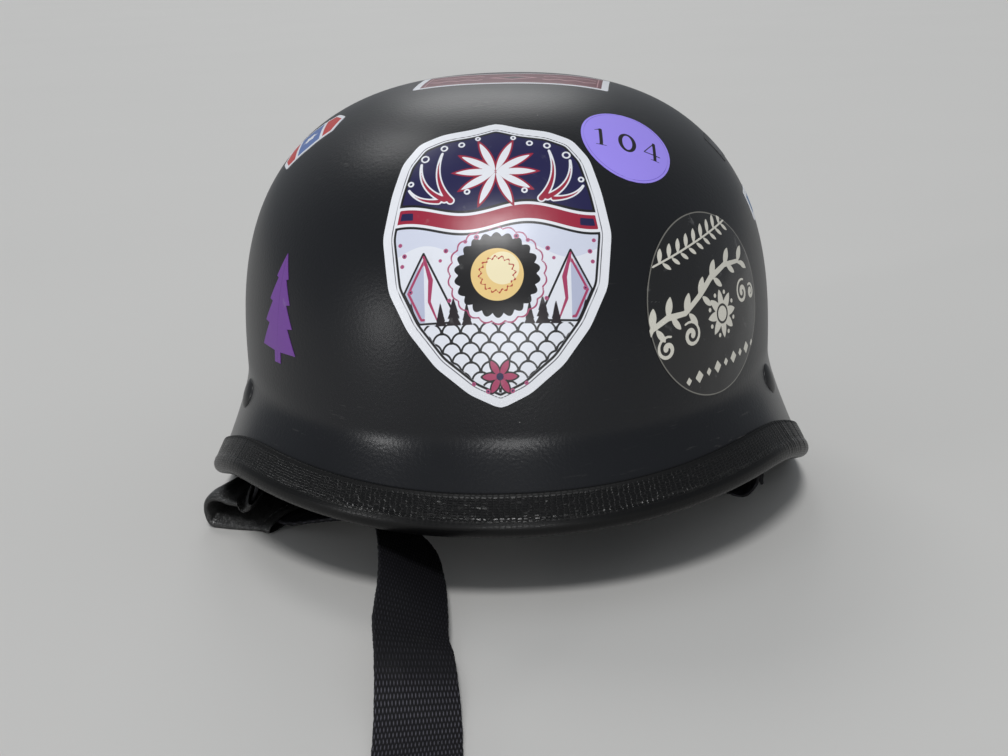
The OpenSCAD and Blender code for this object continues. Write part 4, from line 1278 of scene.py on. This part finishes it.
class HELMET_OT_pads(bpy.types.Operator):
    """Fill the comfort pads as cloth over foam, then press in their channels and bind their edges"""

    bl_idname = "helmet.pads"
    bl_label = "Comfort pads"

    def execute(self, context):
        looks, detail, _ = settings()
        cloth = pad_material(looks)
        pads = {}
        for node in ["crown_pad"] + list(WALL_PADS):
            piece = bpy.data.objects.new(node + "_cushion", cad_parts[node].data.copy())
            piece.data.name = piece.name
            context.scene.collection.objects.link(piece)
            only(piece)
            piece.data.materials.clear()
            mesh = piece.modifiers.new("cells", "REMESH")
            mesh.mode, mesh.voxel_size = "VOXEL", detail.pad_cell * 0.7
            apply_modifiers(piece)
            pads[node] = piece
        rest = {node: points_of(piece) for node, piece in pads.items()}
        for piece in pads.values():
            blown = piece.modifiers.new("filling", "CLOTH")
            blown.settings.use_pressure = True
            blown.settings.uniform_pressure_force = 4.0
            blown.settings.effector_weights.gravity = 0.0
            blown.point_cache.frame_start, blown.point_cache.frame_end = 1, FILL_FRAMES
        for step in range(1, FILL_FRAMES + 1):
            context.scene.frame_set(step)
        graph = context.evaluated_depsgraph_get()
        full = {node: points_of(piece.evaluated_get(graph)) for node, piece in pads.items()}
        for node, piece in pads.items():
            piece.modifiers.clear()
            move = full[node] - rest[node]
            size = np.linalg.norm(move, axis=1, keepdims=True)
            move *= np.minimum(1, detail.pad_swell / np.maximum(size, 1e-9))
            away = unit(rest[node] - HEAD_MIDDLE * MM)
            out = np.sum(move * away, 1, keepdims=True)
            set_points(piece, rest[node] + move - away * np.maximum(0, out - FILL_PLAY))
        context.scene.frame_set(1)
        bindings, threads = [], []
        for node, piece in pads.items():
            finer = piece.modifiers.new("finer", "SUBSURF")
            finer.levels = finer.render_levels = 1
            apply_modifiers(piece)
            self.press(piece, node)
            smooth(piece, 80)
            fit_out(piece, "helmet", cloth, [node])
            cords, lines = self.edges(node)
            bindings += cords
            threads += lines
        fit_out(joined("pad_bindings", bindings), "helmet", cloth)
        fit_out(joined("pad_stitches", threads), "helmet", thread_material(looks))
        return {"FINISHED"}

    def press(self, piece, node):
        """Presses the sewn channels in on the side that faces the head."""
        p = points_of(piece) / MM
        normals = np.array([v.normal for v in piece.data.vertices])
        facing = np.clip(-np.sum(normals * unit(p - HEAD_MIDDLE), 1) * 2, 0, 1)
        if node in WALL_PADS:
            first, last, _, channels = WALL_PADS[node]
            u = (np.degrees(plan_angle(p)) - first) % 360 / (last - first)
            valley = np.abs(np.cos(np.pi * channels * u)) ** 26 * ((u > 0.06) & (u < 0.94))
        else:
            reach = np.hypot(p[:, 0], p[:, 1])
            u = np.arctan2(p[:, 1], p[:, 0])
            valley = np.abs(np.cos(1.5 * u)) ** 60 * (reach > 10) + np.exp(-(((reach - 9) / 1.2) ** 2))
        set_points(piece, (p - normals * (facing * np.clip(valley, 0, 1) * 1.0)[:, None]) * MM)

    def edges(self, node):
        """The bound edge of a pad and the stitches along its channels."""
        t = circle(180)
        if node not in WALL_PADS:
            ring = dome_pt(t, math.pi / 2 - CROWN_REACH, LINER_IN + 3.2, DOME_H - LINER_TOP_IN + 3.2)
            cord = tube("binding", ring, BINDING_R, loop=True)
            sewing = dome_pt(t, math.pi / 2 - CROWN_REACH * 0.86, LINER_IN + 8.2, DOME_H - LINER_TOP_IN + 8.2)
            return [cord], [stitches(sewing, plan3(-plan_out(t)) - [0, 0, 0.8], *PAD_STITCH)]
        first, last, high, channels = WALL_PADS[node]
        u = 0.5 + 0.5 * signed_power(np.cos(t), 1 / 3)
        v = 0.5 + 0.5 * signed_power(np.sin(t), 1 / 3)
        a = np.radians(first + (last - first) * u)
        z = liner_z(a) + PAD_LIFT + (high - PAD_LIFT) * v
        cords = [tube("binding", pad_face(a, z, PAD_GAP + 0.9), BINDING_R, loop=True)]
        lines = []
        for k in range(1, channels):
            v = np.linspace(0.1, 0.9, 30)
            a = np.radians(first + (last - first) * k / channels) + 0 * v
            z = liner_z(a) + PAD_LIFT + (high - PAD_LIFT) * v
            depth = PAD_GAP + 1.5 + (PAD_T - 1.5) * (1 - np.abs(2 * v - 1) ** 6) ** 0.5 * 0.78 - 0.7
            lines.append(stitches(pad_face(a, z, depth), plan3(-plan_out(a)), *PAD_STITCH))
        return cords, lines


# Straps
def strap_points():
    """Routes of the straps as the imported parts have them: points and the directions of their width."""
    low = FRONT_BAR_Z - LOOP_R
    roll_r, curl_r = 3.6, 4.6
    roll = np.array([-HALF_W - 5.9, RING_Y + 7.6, 0.0])
    out = unit([-0.945, 0.33, 0])
    curl_x, upper = -PIVOT_X - 3.4, LIE_Z + 2 * roll_r
    mouth = np.array([-HALF_W + 21.8, RING_Y - 3.5, LIE_Z])
    mouth_wide = unit([0.6, 0.8, 0])
    ahead = np.cross([0, 0, 1], mouth_wide)
    right = [
        [-PIVOT_X, RING_Y, low], [-PIVOT_X, RING_Y, low - 1.6], [-PIVOT_X - 1.6, RING_Y + 0.8, 20.4],
        [curl_x, RING_Y + 2.6, upper + curl_r], [curl_x - curl_r * 0.3, RING_Y + 3.9, upper + curl_r * 0.3],
        [curl_x - curl_r, RING_Y + 4.9, upper], [curl_x - curl_r - 2.6, RING_Y + 6, upper],
    ]
    for i in range(5):
        a = math.radians(105 + 40 * i)
        right.append([roll[0], roll[1], LIE_Z + roll_r + roll_r * math.sin(a)] - out * roll_r * math.cos(a))
    right += [
        [roll[0] + 4, roll[1] - 1.4, LIE_Z], mouth + ahead * 13 + [-0.5, -1.3, 0], mouth + ahead * 7.1,
        mouth + ahead * 2.6, mouth + ahead * 1.1,
    ]
    right_wide = [[0, 1, 0]] * 3 + [[0.08, 1, 0.1], [0.18, 0.97, 0.05], [0.3, 0.95, -0.04], [0.33, 0.945, -0.08]]
    right_wide += [[0.33, 0.945, -0.08 * (1 - i / 4)] for i in range(5)]
    right_wide += [[0.33, 0.945, 0], [0.42, 0.91, 0], [0.57, 0.82, 0], mouth_wide, mouth_wide]
    crease = np.array([-30.4, -172, 11.0])
    crease_wide = unit([1, 0.16, 0])
    over = np.cross([0, 0, 1], crease_wide)
    tail = [
        mouth, mouth - ahead * 2, [-64.5, -59, 6], [-48.5, -75, 10], [-38.1, -97, 13.5], [-34, -120, 13.4],
        [-31.9, -146, 13], crease + over * 3.1, crease + over * 1.1,
    ]
    tail_wide = [
        mouth_wide, mouth_wide, [0.72, 0.68, -0.2], [0.79, 0.4, -0.42], [0.83, 0.15, -0.53],
        [0.85, 0.15, -0.5], [0.87, 0.15, -0.47], [0.93, 0.16, -0.34], [0.935, 0.16, -0.32],
    ]
    lower = [
        crease, crease - over * 2, [-28.2, -190, 7], [-26.9, -208, 2.6], [-26, -228, 1.3],
        [-23.8, -252, 1.1], [-21.8, -278, 1.1],
    ]
    lower_wide = [[0.935, 0.16, -0.32], [0.94, 0.16, -0.3], [0.965, 0.16, -0.2], [0.99, 0.16, -0.07]]
    lower_wide += [crease_wide] * 3
    touch = np.array([PIVOT_X - 6.2, RING_Y + 3, 7.2])
    bar = np.array([46.0, RING_Y + 40.5, 0.0])
    turn = math.atan2(bar[1] - touch[1], touch[0] - bar[0])
    back = np.array([-math.cos(turn), math.sin(turn), 0])
    lie_wide = np.array([math.sin(turn), math.cos(turn), 0])
    d_low = LOOP_PLAY + D_WIRE_R + STRAP_T + 0.3
    d_mid = d_low + D_RISE / 2

    def lying(d, z):
        return bar - back * d + [0, 0, z]

    left = [
        [PIVOT_X, RING_Y, low], [PIVOT_X, RING_Y, low - 1.6], [PIVOT_X - 0.2, RING_Y + 0.1, 19.5],
        [PIVOT_X - 0.6, RING_Y + 0.3, 14], [PIVOT_X - 2.2, RING_Y + 0.8, 9.8], touch, lying(47, 5.6),
        lying(38, 4.2), lying(28, 3.5), lying(18, 3.5), lying(11, 3.5), lying(5, d_mid - 0.5),
        lying(2.75, d_mid),
    ]
    left_wide = [[0, 1, 0]] * 4 + [[0.1, 0.99, -0.05], [0.45, 0.88, -0.2]] + [lie_wide] * 7
    return {
        "right": (right, right_wide), "tail": (tail, tail_wide), "lower": (lower, lower_wide),
        "left": (left, left_wide), "mouth": (mouth, ahead), "crease": (crease, over),
        "bar": (bar, lie_wide, d_mid),
    }


def evened(path, wide, step):
    """A path and its width directions with their points an even step apart."""
    run = lengths(path)
    s = np.linspace(0, run[-1], max(4, int(run[-1] / step)))
    return sampled(s, run, path), sampled(s, run, wide)


def resampled(points, wides, step):
    return evened(curve(points, ROUTE_STEP), spread(points, wides, ROUTE_STEP), step)


def weave(along, across, pitch):
    """Height of the woven floats, from 0 to 1, at distances in millimetres."""
    column = np.cos(2 * np.pi * across / pitch[0])
    row = np.cos(2 * np.pi * (along + 0.14 * across) / pitch[1])
    return np.clip(column * row, 0, 1) ** 0.9


def ribbon_rings(path, wides, width, cell, start, pitch, loop):
    """Rings of points round a strap, with the distances along and across for its map.
    The pitch of its weave, where it is given, raises the floats and lets the edges wander."""
    _, across, face = strap_frame(path, wides, loop)
    edge = WEB_T / 2
    half = width / 2 - edge
    flat = np.linspace(-half, half, max(6, int(width / cell)))
    bend = np.radians(np.linspace(90, -90, 7)[1:-1])
    x = np.concatenate([flat, half + edge * np.cos(bend), flat[::-1], -half - edge * np.cos(bend)])
    level = np.full(len(flat), edge)
    z = np.concatenate([level, edge * np.sin(bend), -level, -edge * np.sin(bend)])
    run = lengths(path) + start
    xs, rise = np.tile(x, (len(path), 1)), 0.0
    if pitch:
        wander = np.array([noise.noise((s * 0.35, 4.0, 0.0)) + 0.6 * noise.noise((s * 1.7, 9.0, 0.0)) for s in run])
        xs *= 1 + EDGE_WANDER * wander[:, None] / (width / 2)
        rise = FLOAT_RISE * weave(run[:, None], xs, pitch)
    zs = z + np.sign(z) * rise * (np.abs(z) > WEB_T * 0.49)
    rings = path[:, None] + across[:, None] * xs[..., None] + face[:, None] * zs[..., None]
    return rings, run, x


def strap(name, path, wides, width, cell=COARSE, start=0.0, pitch=None, loop=False, sheen_on_floats=None):
    rings, run, x = ribbon_rings(path, wides, width, cell, start, pitch, loop)
    x = np.append(x, x[0])
    if loop:
        return lofted(name, rings, np.append(run, run[-1] + np.linalg.norm(path[0] - path[-1])), x, loop=True)
    # The painted sheen on the floats, none where it is not given
    paler = np.zeros(len(run)) if sheen_on_floats is None else sheen_on_floats
    fields = {"sheen_on_floats": np.tile(np.pad(paler, 1, "edge")[:, None], rings.shape[1])}
    return lofted(name, with_ends(rings), np.pad(run, 1, "edge"), x, fields=fields)


def ring_loop(name, centre, axis, radius, width=LOOP_W, squash=0.0):
    """Webbing round a bar: a circle, or two half circles apart along z."""
    axis = np.asarray(axis, float)
    side = unit(np.cross(axis, [0, 0, 1])) if abs(axis[2]) < 0.9 else np.array([1.0, 0, 0])
    up = np.cross(side, axis)
    t = circle(48)[:, None]
    path = centre + radius * (np.cos(t) * side + np.sin(t) * up) + np.sign(np.sin(t)) * up * squash
    if squash:
        closed = np.concatenate([path, path[:1]])
        run = lengths(closed)
        path = sampled(np.linspace(0, run[-1], 64, endpoint=False), run, closed)
    return strap(name, path, np.repeat(axis[None], len(path), 0), width, loop=True)


class HELMET_OT_straps(bpy.types.Operator):
    """Weave the chin strap, its tail, its rear legs and the loops that hold the rings"""

    bl_idname = "helmet.straps"
    bl_label = "Chin strap"

    def execute(self, context):
        looks, detail, _ = settings()
        web = webbing_material(looks)
        route = strap_points()
        step, cell = detail.web_step / MM, detail.web_cell / MM
        pitch = (looks.warp_pitch / MM, looks.weft_pitch / MM)
        right, right_wide = resampled(*route["right"], 0.8)
        mouth, ahead = route["mouth"]
        inside = int(np.argmax(lengths(right) > lengths(right)[-1] - MOUTH_SHARE))
        for side, name, path, wide in (
            (-1, "right", right[:inside], right_wide[:inside]), (1, "left", *resampled(*route["left"], 0.8)),
        ):
            at = np.array([side * PIVOT_X, RING_Y, FRONT_BAR_Z])
            pieces = [strap(name + "_web", path, wide, STRAP_W), ring_loop(name + "_loop", at, (0, 1, 0), LOOP_R)]
            if side > 0:
                bar, lie_wide, middle = route["bar"]
                radius = D_WIRE_R + LOOP_PLAY + STRAP_T / 2
                pieces.append(ring_loop("d_loop", bar + [0, 0, middle], lie_wide, radius, squash=D_RISE / 2))
            fit_out(joined(name + "_strap_web", pieces), name + "_harness", web, [name + "_strap"])
            self.rear_leg(side, name, web)
        tail, tail_wide = resampled(*route["tail"], step)
        lead, lead_wide = evened(right[inside:], right_wide[inside:], step)
        upper = np.concatenate([lead[:-1], tail])
        upper_wide = np.concatenate([lead_wide[:-1], tail_wide])
        run = lengths(upper)
        cut = int(np.argmax(run > run[-1] - CREASE_SHARE))
        fit_out(
            strap("tail_web_upper", upper[:cut + 1], upper_wide[:cut + 1], TAIL_W, cell, pitch=pitch),
            ("right_harness", "tail_upper"), web, ["tail_strap_upper"],
            (mouth + ahead * MOUTH_BEND, mouth - ahead * MOUTH_BEND),
        )
        lower, lower_wide = resampled(*route["lower"], step)
        path, wide = evened(
            np.concatenate([upper[cut:-1], lower]), np.concatenate([upper_wide[cut:-1], lower_wide]), step
        )
        crease, over = route["crease"]
        past = lengths(path) - (run[-1] - run[cut])
        # The floats get a painted sheen from 15 to 25 mm past the crease on, where the tail lies flat, and less of it
        # from 42 mm on
        sheen_on_floats = np.clip((past - 15) / 10, 0, 1) * (1 - 0.4 * np.clip((past - 42) / 30, 0, 1))
        fit_out(
            strap("tail_web_lower", path, wide, TAIL_W, cell, run[cut], pitch, sheen_on_floats=sheen_on_floats),
            ("tail_upper", "tail_lower"), web, ["tail_strap_lower"],
            (crease + over * CREASE_BEND, crease - over * CREASE_BEND),
        )
        return {"FINISHED"}

    def rear_leg(self, side, name, web):
        near, aside = side * PIVOT_X, STRAP_T + (0.6 if side < 0 else 1.8)
        start = REAR_BAR_Y - LOOP_R
        z = REAR_BAR_Z
        end = FRONT_BAR_Z - LOOP_R - 1.3 - LEG_W / 2
        path, wide = resampled([
            [near, start, z], [near, start - 1.6, z], [near + aside * 0.3, start - 18, z - 1.6],
            [near + aside, RING_Y + STRAP_W / 2 + 8, end + 2.2], [near + aside, RING_Y + STRAP_W / 2 - 1, end + 0.3],
            [near + aside, RING_Y + 0.5, end],
        ], [[0, 0, 1]] * 6, 1.0)
        at = np.array([near, REAR_BAR_Y, z])
        pieces = [
            strap(name + "_leg", path, wide, LEG_W), ring_loop(name + "_leg_loop", at, (0, 0, 1), LOOP_R, LEG_W - 0.4),
        ]
        fit_out(joined(name + "_leg_web", pieces), name + "_harness", web, [name + "_rear_leg"])


# Leatherette sleeves
SLEEVE_SEAMS = (7, -8)  # rings of a sleeve that are sewn


def sleeve(name, path, wides, side):
    """A flat double-walled tube with a turned hem at each end and soft wrinkles."""
    _, across, face = strap_frame(path, wides)
    run = lengths(path)
    t = circle(128)
    rise = np.minimum(run, run[-1] - run)
    hem = 0.28 * np.exp(-(((rise - 1.6) / 1.3) ** 4)) - 0.2 * np.exp(-(((rise - 3.9) / 0.5) ** 2))
    cos, sin = signed_power(np.cos(t), 0.8), signed_power(np.sin(t), 0.8)
    soft = np.array([[
        noise.noise((s * 0.11 + 7 * side, c * 1.1, k * 1.3)) + 0.5 * noise.noise((s * 0.4 - 5, c * 3.4, k * 2.6))
        for c, k in zip(np.cos(t), np.sin(t))
    ] for s in run])
    outer_w = SLEEVE_W / 2 - 0.5 + soft * 0.35 + hem[:, None] * 0.5
    outer_t = SLEEVE_HALF_T - 0.45 + soft * 0.42 + hem[:, None]

    def rings(w, h):
        return path[:, None] + across[:, None] * (w * cos)[..., None] + face[:, None] * (h * sin)[..., None]

    def sagging(skin, floor):
        low = np.clip((8 - path[:, 2:]) / 4, 0, 1) * np.abs(cos) ** 3
        skin[..., 2] = np.maximum(skin[..., 2] - 2.4 * low, floor)
        return skin

    outer = sagging(rings(outer_w, outer_t), 0.06)
    inner = sagging(rings(outer_w - 1.1, outer_t - 1.0), 0.5)[::-1]
    lips = []
    for end, near, far in ((-1, outer[-1], inner[0]), (0, inner[-1], outer[0])):
        push = unit(path[end] - path[-2 if end else 1]) * 0.45
        lips.append([near + (far - near) * f + push * math.sin(math.pi * f) for f in (0.2, 0.5, 0.8)])
    # The rings close on themselves: out along the outside, round the lip, back along the inside
    return lofted(name, np.concatenate([outer, lips[0], inner, lips[1]]), loop=True), outer


class HELMET_OT_sleeves(bpy.types.Operator):
    """Sew the leatherette sleeves on both sides of the chin strap"""

    bl_idname = "helmet.sleeves"
    bl_label = "Sleeves"

    def execute(self, context):
        looks, _, _ = settings()
        leather = leather_material(looks)
        route = strap_points()
        # The ends of a sleeve are given as places on its strap's coarse route
        for side, name, first, last in ((-1, "right", 6, -1), (1, "left", 17, 28)):
            path, wide = resampled(*route[name], 0.55)
            run, marks = lengths(path), lengths(curve(route[name][0], 2.2))
            total = run[-1] / marks[-1]
            keep = (run >= marks[first] * total) & (run <= marks[last] * total)
            piece, outer = sleeve(name + "_sleeve_skin", path[keep], wide[keep], side)
            fit_out(piece, name + "_harness", leather, [name + "_sleeve"])
            threads = [
                stitches(outer[row], unit(outer[row] - path[keep][row]), *SLEEVE_STITCH) for row in SLEEVE_SEAMS
            ]
            fit_out(
                joined(name + "_sleeve_stitches", threads), name + "_harness", thread_material(looks)
            )
        return {"FINISHED"}


# Rivets: places and the outline of head and shank, as radius and height, in millimetres
RIVET_Z, RIVET_Y, STACK_T = 53.0, (-46.0, 25.0), 7.3
RIVET_HEAD = [
    (0.01, 1.75), (1.2, 1.71), (2.4, 1.58), (3.6, 1.33), (4.6, 1.0), (5.3, 0.66), (5.75, 0.34), (5.95, 0.08),
    (6.0, -0.2), (5.6, -0.5),
]
RIVET_SHANK = [
    (2.4, 0.6), (2.4, STACK_T + 0.1), (3.2, STACK_T + 0.15), (3.4, STACK_T + 0.4), (3.3, STACK_T + 0.8),
    (2.6, STACK_T + 1.1), (0.01, STACK_T + 1.2),
]


class HELMET_OT_rivets(bpy.types.Operator):
    """Press the low domed rivets flush on the flare"""

    bl_idname = "helmet.rivets"
    bl_label = "Rivets"

    def execute(self, context):
        looks, _, _ = settings()
        turn = circle(48)
        cos, sin = np.cos(turn), np.sin(turn)
        heads = []
        for side in (-1, 1):
            for y in RIVET_Y:
                a = math.asin((abs(y) / half_len(y)) ** (PLAN_N / 2)) * (1 if y > 0 else -1)
                a = np.array(a if side > 0 else math.pi - a)
                f = (WAIST_Z - RIVET_Z) / drop(a)
                at, step = flare_pt(a, f, 0.0), 1e-4
                ahead, below = flare_pt(a + step, f, 0.0) - at, flare_pt(a, f + step, 0.0) - at
                round_by, down_by = np.linalg.norm(ahead) / step, np.linalg.norm(below) / step
                out, right = unit(flare_pt(a, f, 1.0) - at), unit(ahead)
                up = np.cross(out, right)
                up *= 1 if np.dot(below, up) > 0 else -1
                rings = [
                    flare_pt(a + r * cos / round_by, np.maximum(f + r * sin / down_by, 0.001), h)
                    for r, h in RIVET_HEAD
                ]
                rings += [at - out * h + r * (cos[:, None] * right + sin[:, None] * up) for r, h in RIVET_SHANK]
                heads.append(lofted("rivet", np.array(rings)))
        steel = steel_material("painted_steel", looks.black_steel, 0.26, 0.0)
        fit_out(joined("rivets", heads), "helmet", steel, ["strap_rivets"])
        return {"FINISHED"}


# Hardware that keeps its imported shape
class HELMET_OT_hardware(bpy.types.Operator):
    """Give the hangers, rings, washers, snap and hook patches their finishes"""

    bl_idname = "helmet.hardware"
    bl_label = "Hardware"

    def execute(self, context):
        looks, _, _ = settings()
        corners = ("right_front", "right_rear", "left_front", "left_rear")
        black = ["tail_snap"] + [corner + "_hanger" for corner in corners]
        bare = ["rivet_spacers", "rivet_burrs", "snap_stud", "outer_d_ring", "inner_d_ring"]
        bare += [corner + "_ring" for corner in corners]
        for material, nodes in (
            (bpy.data.materials["painted_steel"], black),
            (steel_material("plated_steel", looks.bare_steel, 0.24, 1.0), bare),
            (hook_material(looks), ["pad_patches"]),
        ):
            for node in nodes:
                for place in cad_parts[node].material_slots:
                    place.material = material
        return {"FINISHED"}


# Stage: the camera's place in millimetres and its directions
CAMERA_AT = (6.31, -576.17, 218.10)
CAMERA_RIGHT = (0.99949, 0.00495, -0.03144)
CAMERA_UP = (0.02862, 0.29274, 0.95576)
CAMERA_AHEAD = (-0.01393, 0.95618, -0.29245)
LENS, SENSOR = 52.0, 36.0


class HELMET_OT_stage(bpy.types.Operator):
    """Lay a pale floor and set soft lights, a plain sky and the camera"""

    bl_idname = "helmet.stage"
    bl_label = "Stage"

    def execute(self, context):
        _, _, stage = settings()
        scene = context.scene
        deselect()
        bpy.ops.mesh.primitive_plane_add(size=24)
        floor = added("floor")
        tree = Tree("pale_floor")
        tone = tree.noise(tree.coords(), 3.0, 3)
        paint(floor, tree.finish(
            Base_Color=tree.shades(tone, stage.floor, 0.98, 1.02), Roughness=0.7
        ))
        self.light("back_light", (-0.42, 0.62, 0.9), 18, stage.back)
        self.light("window_light", (-0.03, 0.87, 0.5), 20, stage.back * 0.7)
        self.light("front_light", (-0.037, -0.535, 0.844), 13, stage.front)
        self.light("low_light", (0.02, -0.98, 0.035), 12, stage.front * 0.5)
        self.light("side_light", (-0.763, -0.607, 0.12), 7, stage.front * 0.3)
        scene.world = bpy.data.worlds.new("plain_sky")
        scene.world.use_nodes = True
        sky = scene.world.node_tree.nodes["Background"].inputs
        sky["Color"].default_value = (0.9, 0.95, 1.0, 1.0)
        sky["Strength"].default_value = stage.sky
        scene.view_settings.view_transform = "Standard"
        bpy.ops.object.camera_add()
        camera = added("camera")
        camera.data.lens, camera.data.sensor_width = LENS, SENSOR
        camera.data.sensor_fit = "HORIZONTAL"
        turn = Matrix([CAMERA_RIGHT, CAMERA_UP, [-c for c in CAMERA_AHEAD]]).transposed()
        camera.rotation_euler = turn.to_euler()
        camera.location = Vector(CAMERA_AT) * MM
        camera.data.clip_start = 0.01
        scene.camera = camera
        return {"FINISHED"}

    def light(self, name, place, spread_angle, strength):
        """A far soft light, seen from the helmet in the direction of a place."""
        bpy.ops.object.light_add(type="SUN", location=place)
        lamp = bpy.context.object
        lamp.name = name
        lamp.data.energy, lamp.data.angle = strength, math.radians(spread_angle)
        lamp.rotation_euler = (-Vector(place)).to_track_quat("-Z", "Y").to_euler()


class HELMET_PT_panel(bpy.types.Panel):
    """Lists the steps and the settings"""

    bl_idname = "HELMET_PT_panel"
    bl_label = "Half Helmet"
    bl_space_type = "VIEW_3D"
    bl_region_type = "UI"
    bl_category = "Helmet"

    def draw(self, context):
        for kind in STEPS:
            self.layout.operator(kind.bl_idname)
        for group in settings():
            box = self.layout.box()
            for key in group.__annotations__:
                box.prop(group, key)


GROUPS = {"helmet_looks": HelmetLooks, "helmet_detail": HelmetDetail, "helmet_stage": HelmetStage}
STEPS = (
    HELMET_OT_stage, HELMET_OT_shell, HELMET_OT_trim, HELMET_OT_liner, HELMET_OT_pads, HELMET_OT_straps,
    HELMET_OT_sleeves, HELMET_OT_rivets, HELMET_OT_hardware, HELMET_OT_stickers,
)


def register():
    for kind in (*GROUPS.values(), *STEPS, HELMET_PT_panel):
        bpy.utils.register_class(kind)
    for name, group in GROUPS.items():
        setattr(bpy.types.Scene, name, PointerProperty(type=group))


def unregister():
    for name in GROUPS:
        delattr(bpy.types.Scene, name)
    for kind in (HELMET_PT_panel, *reversed(STEPS), *GROUPS.values()):
        bpy.utils.unregister_class(kind)


def main():
    register()
    for kind in STEPS:
        group, step = kind.bl_idname.split(".")
        if getattr(getattr(bpy.ops, group), step)() != {"FINISHED"}:
            raise RuntimeError(f"{kind.bl_label} didn't finish")


if __name__ == "__main__":
    main()
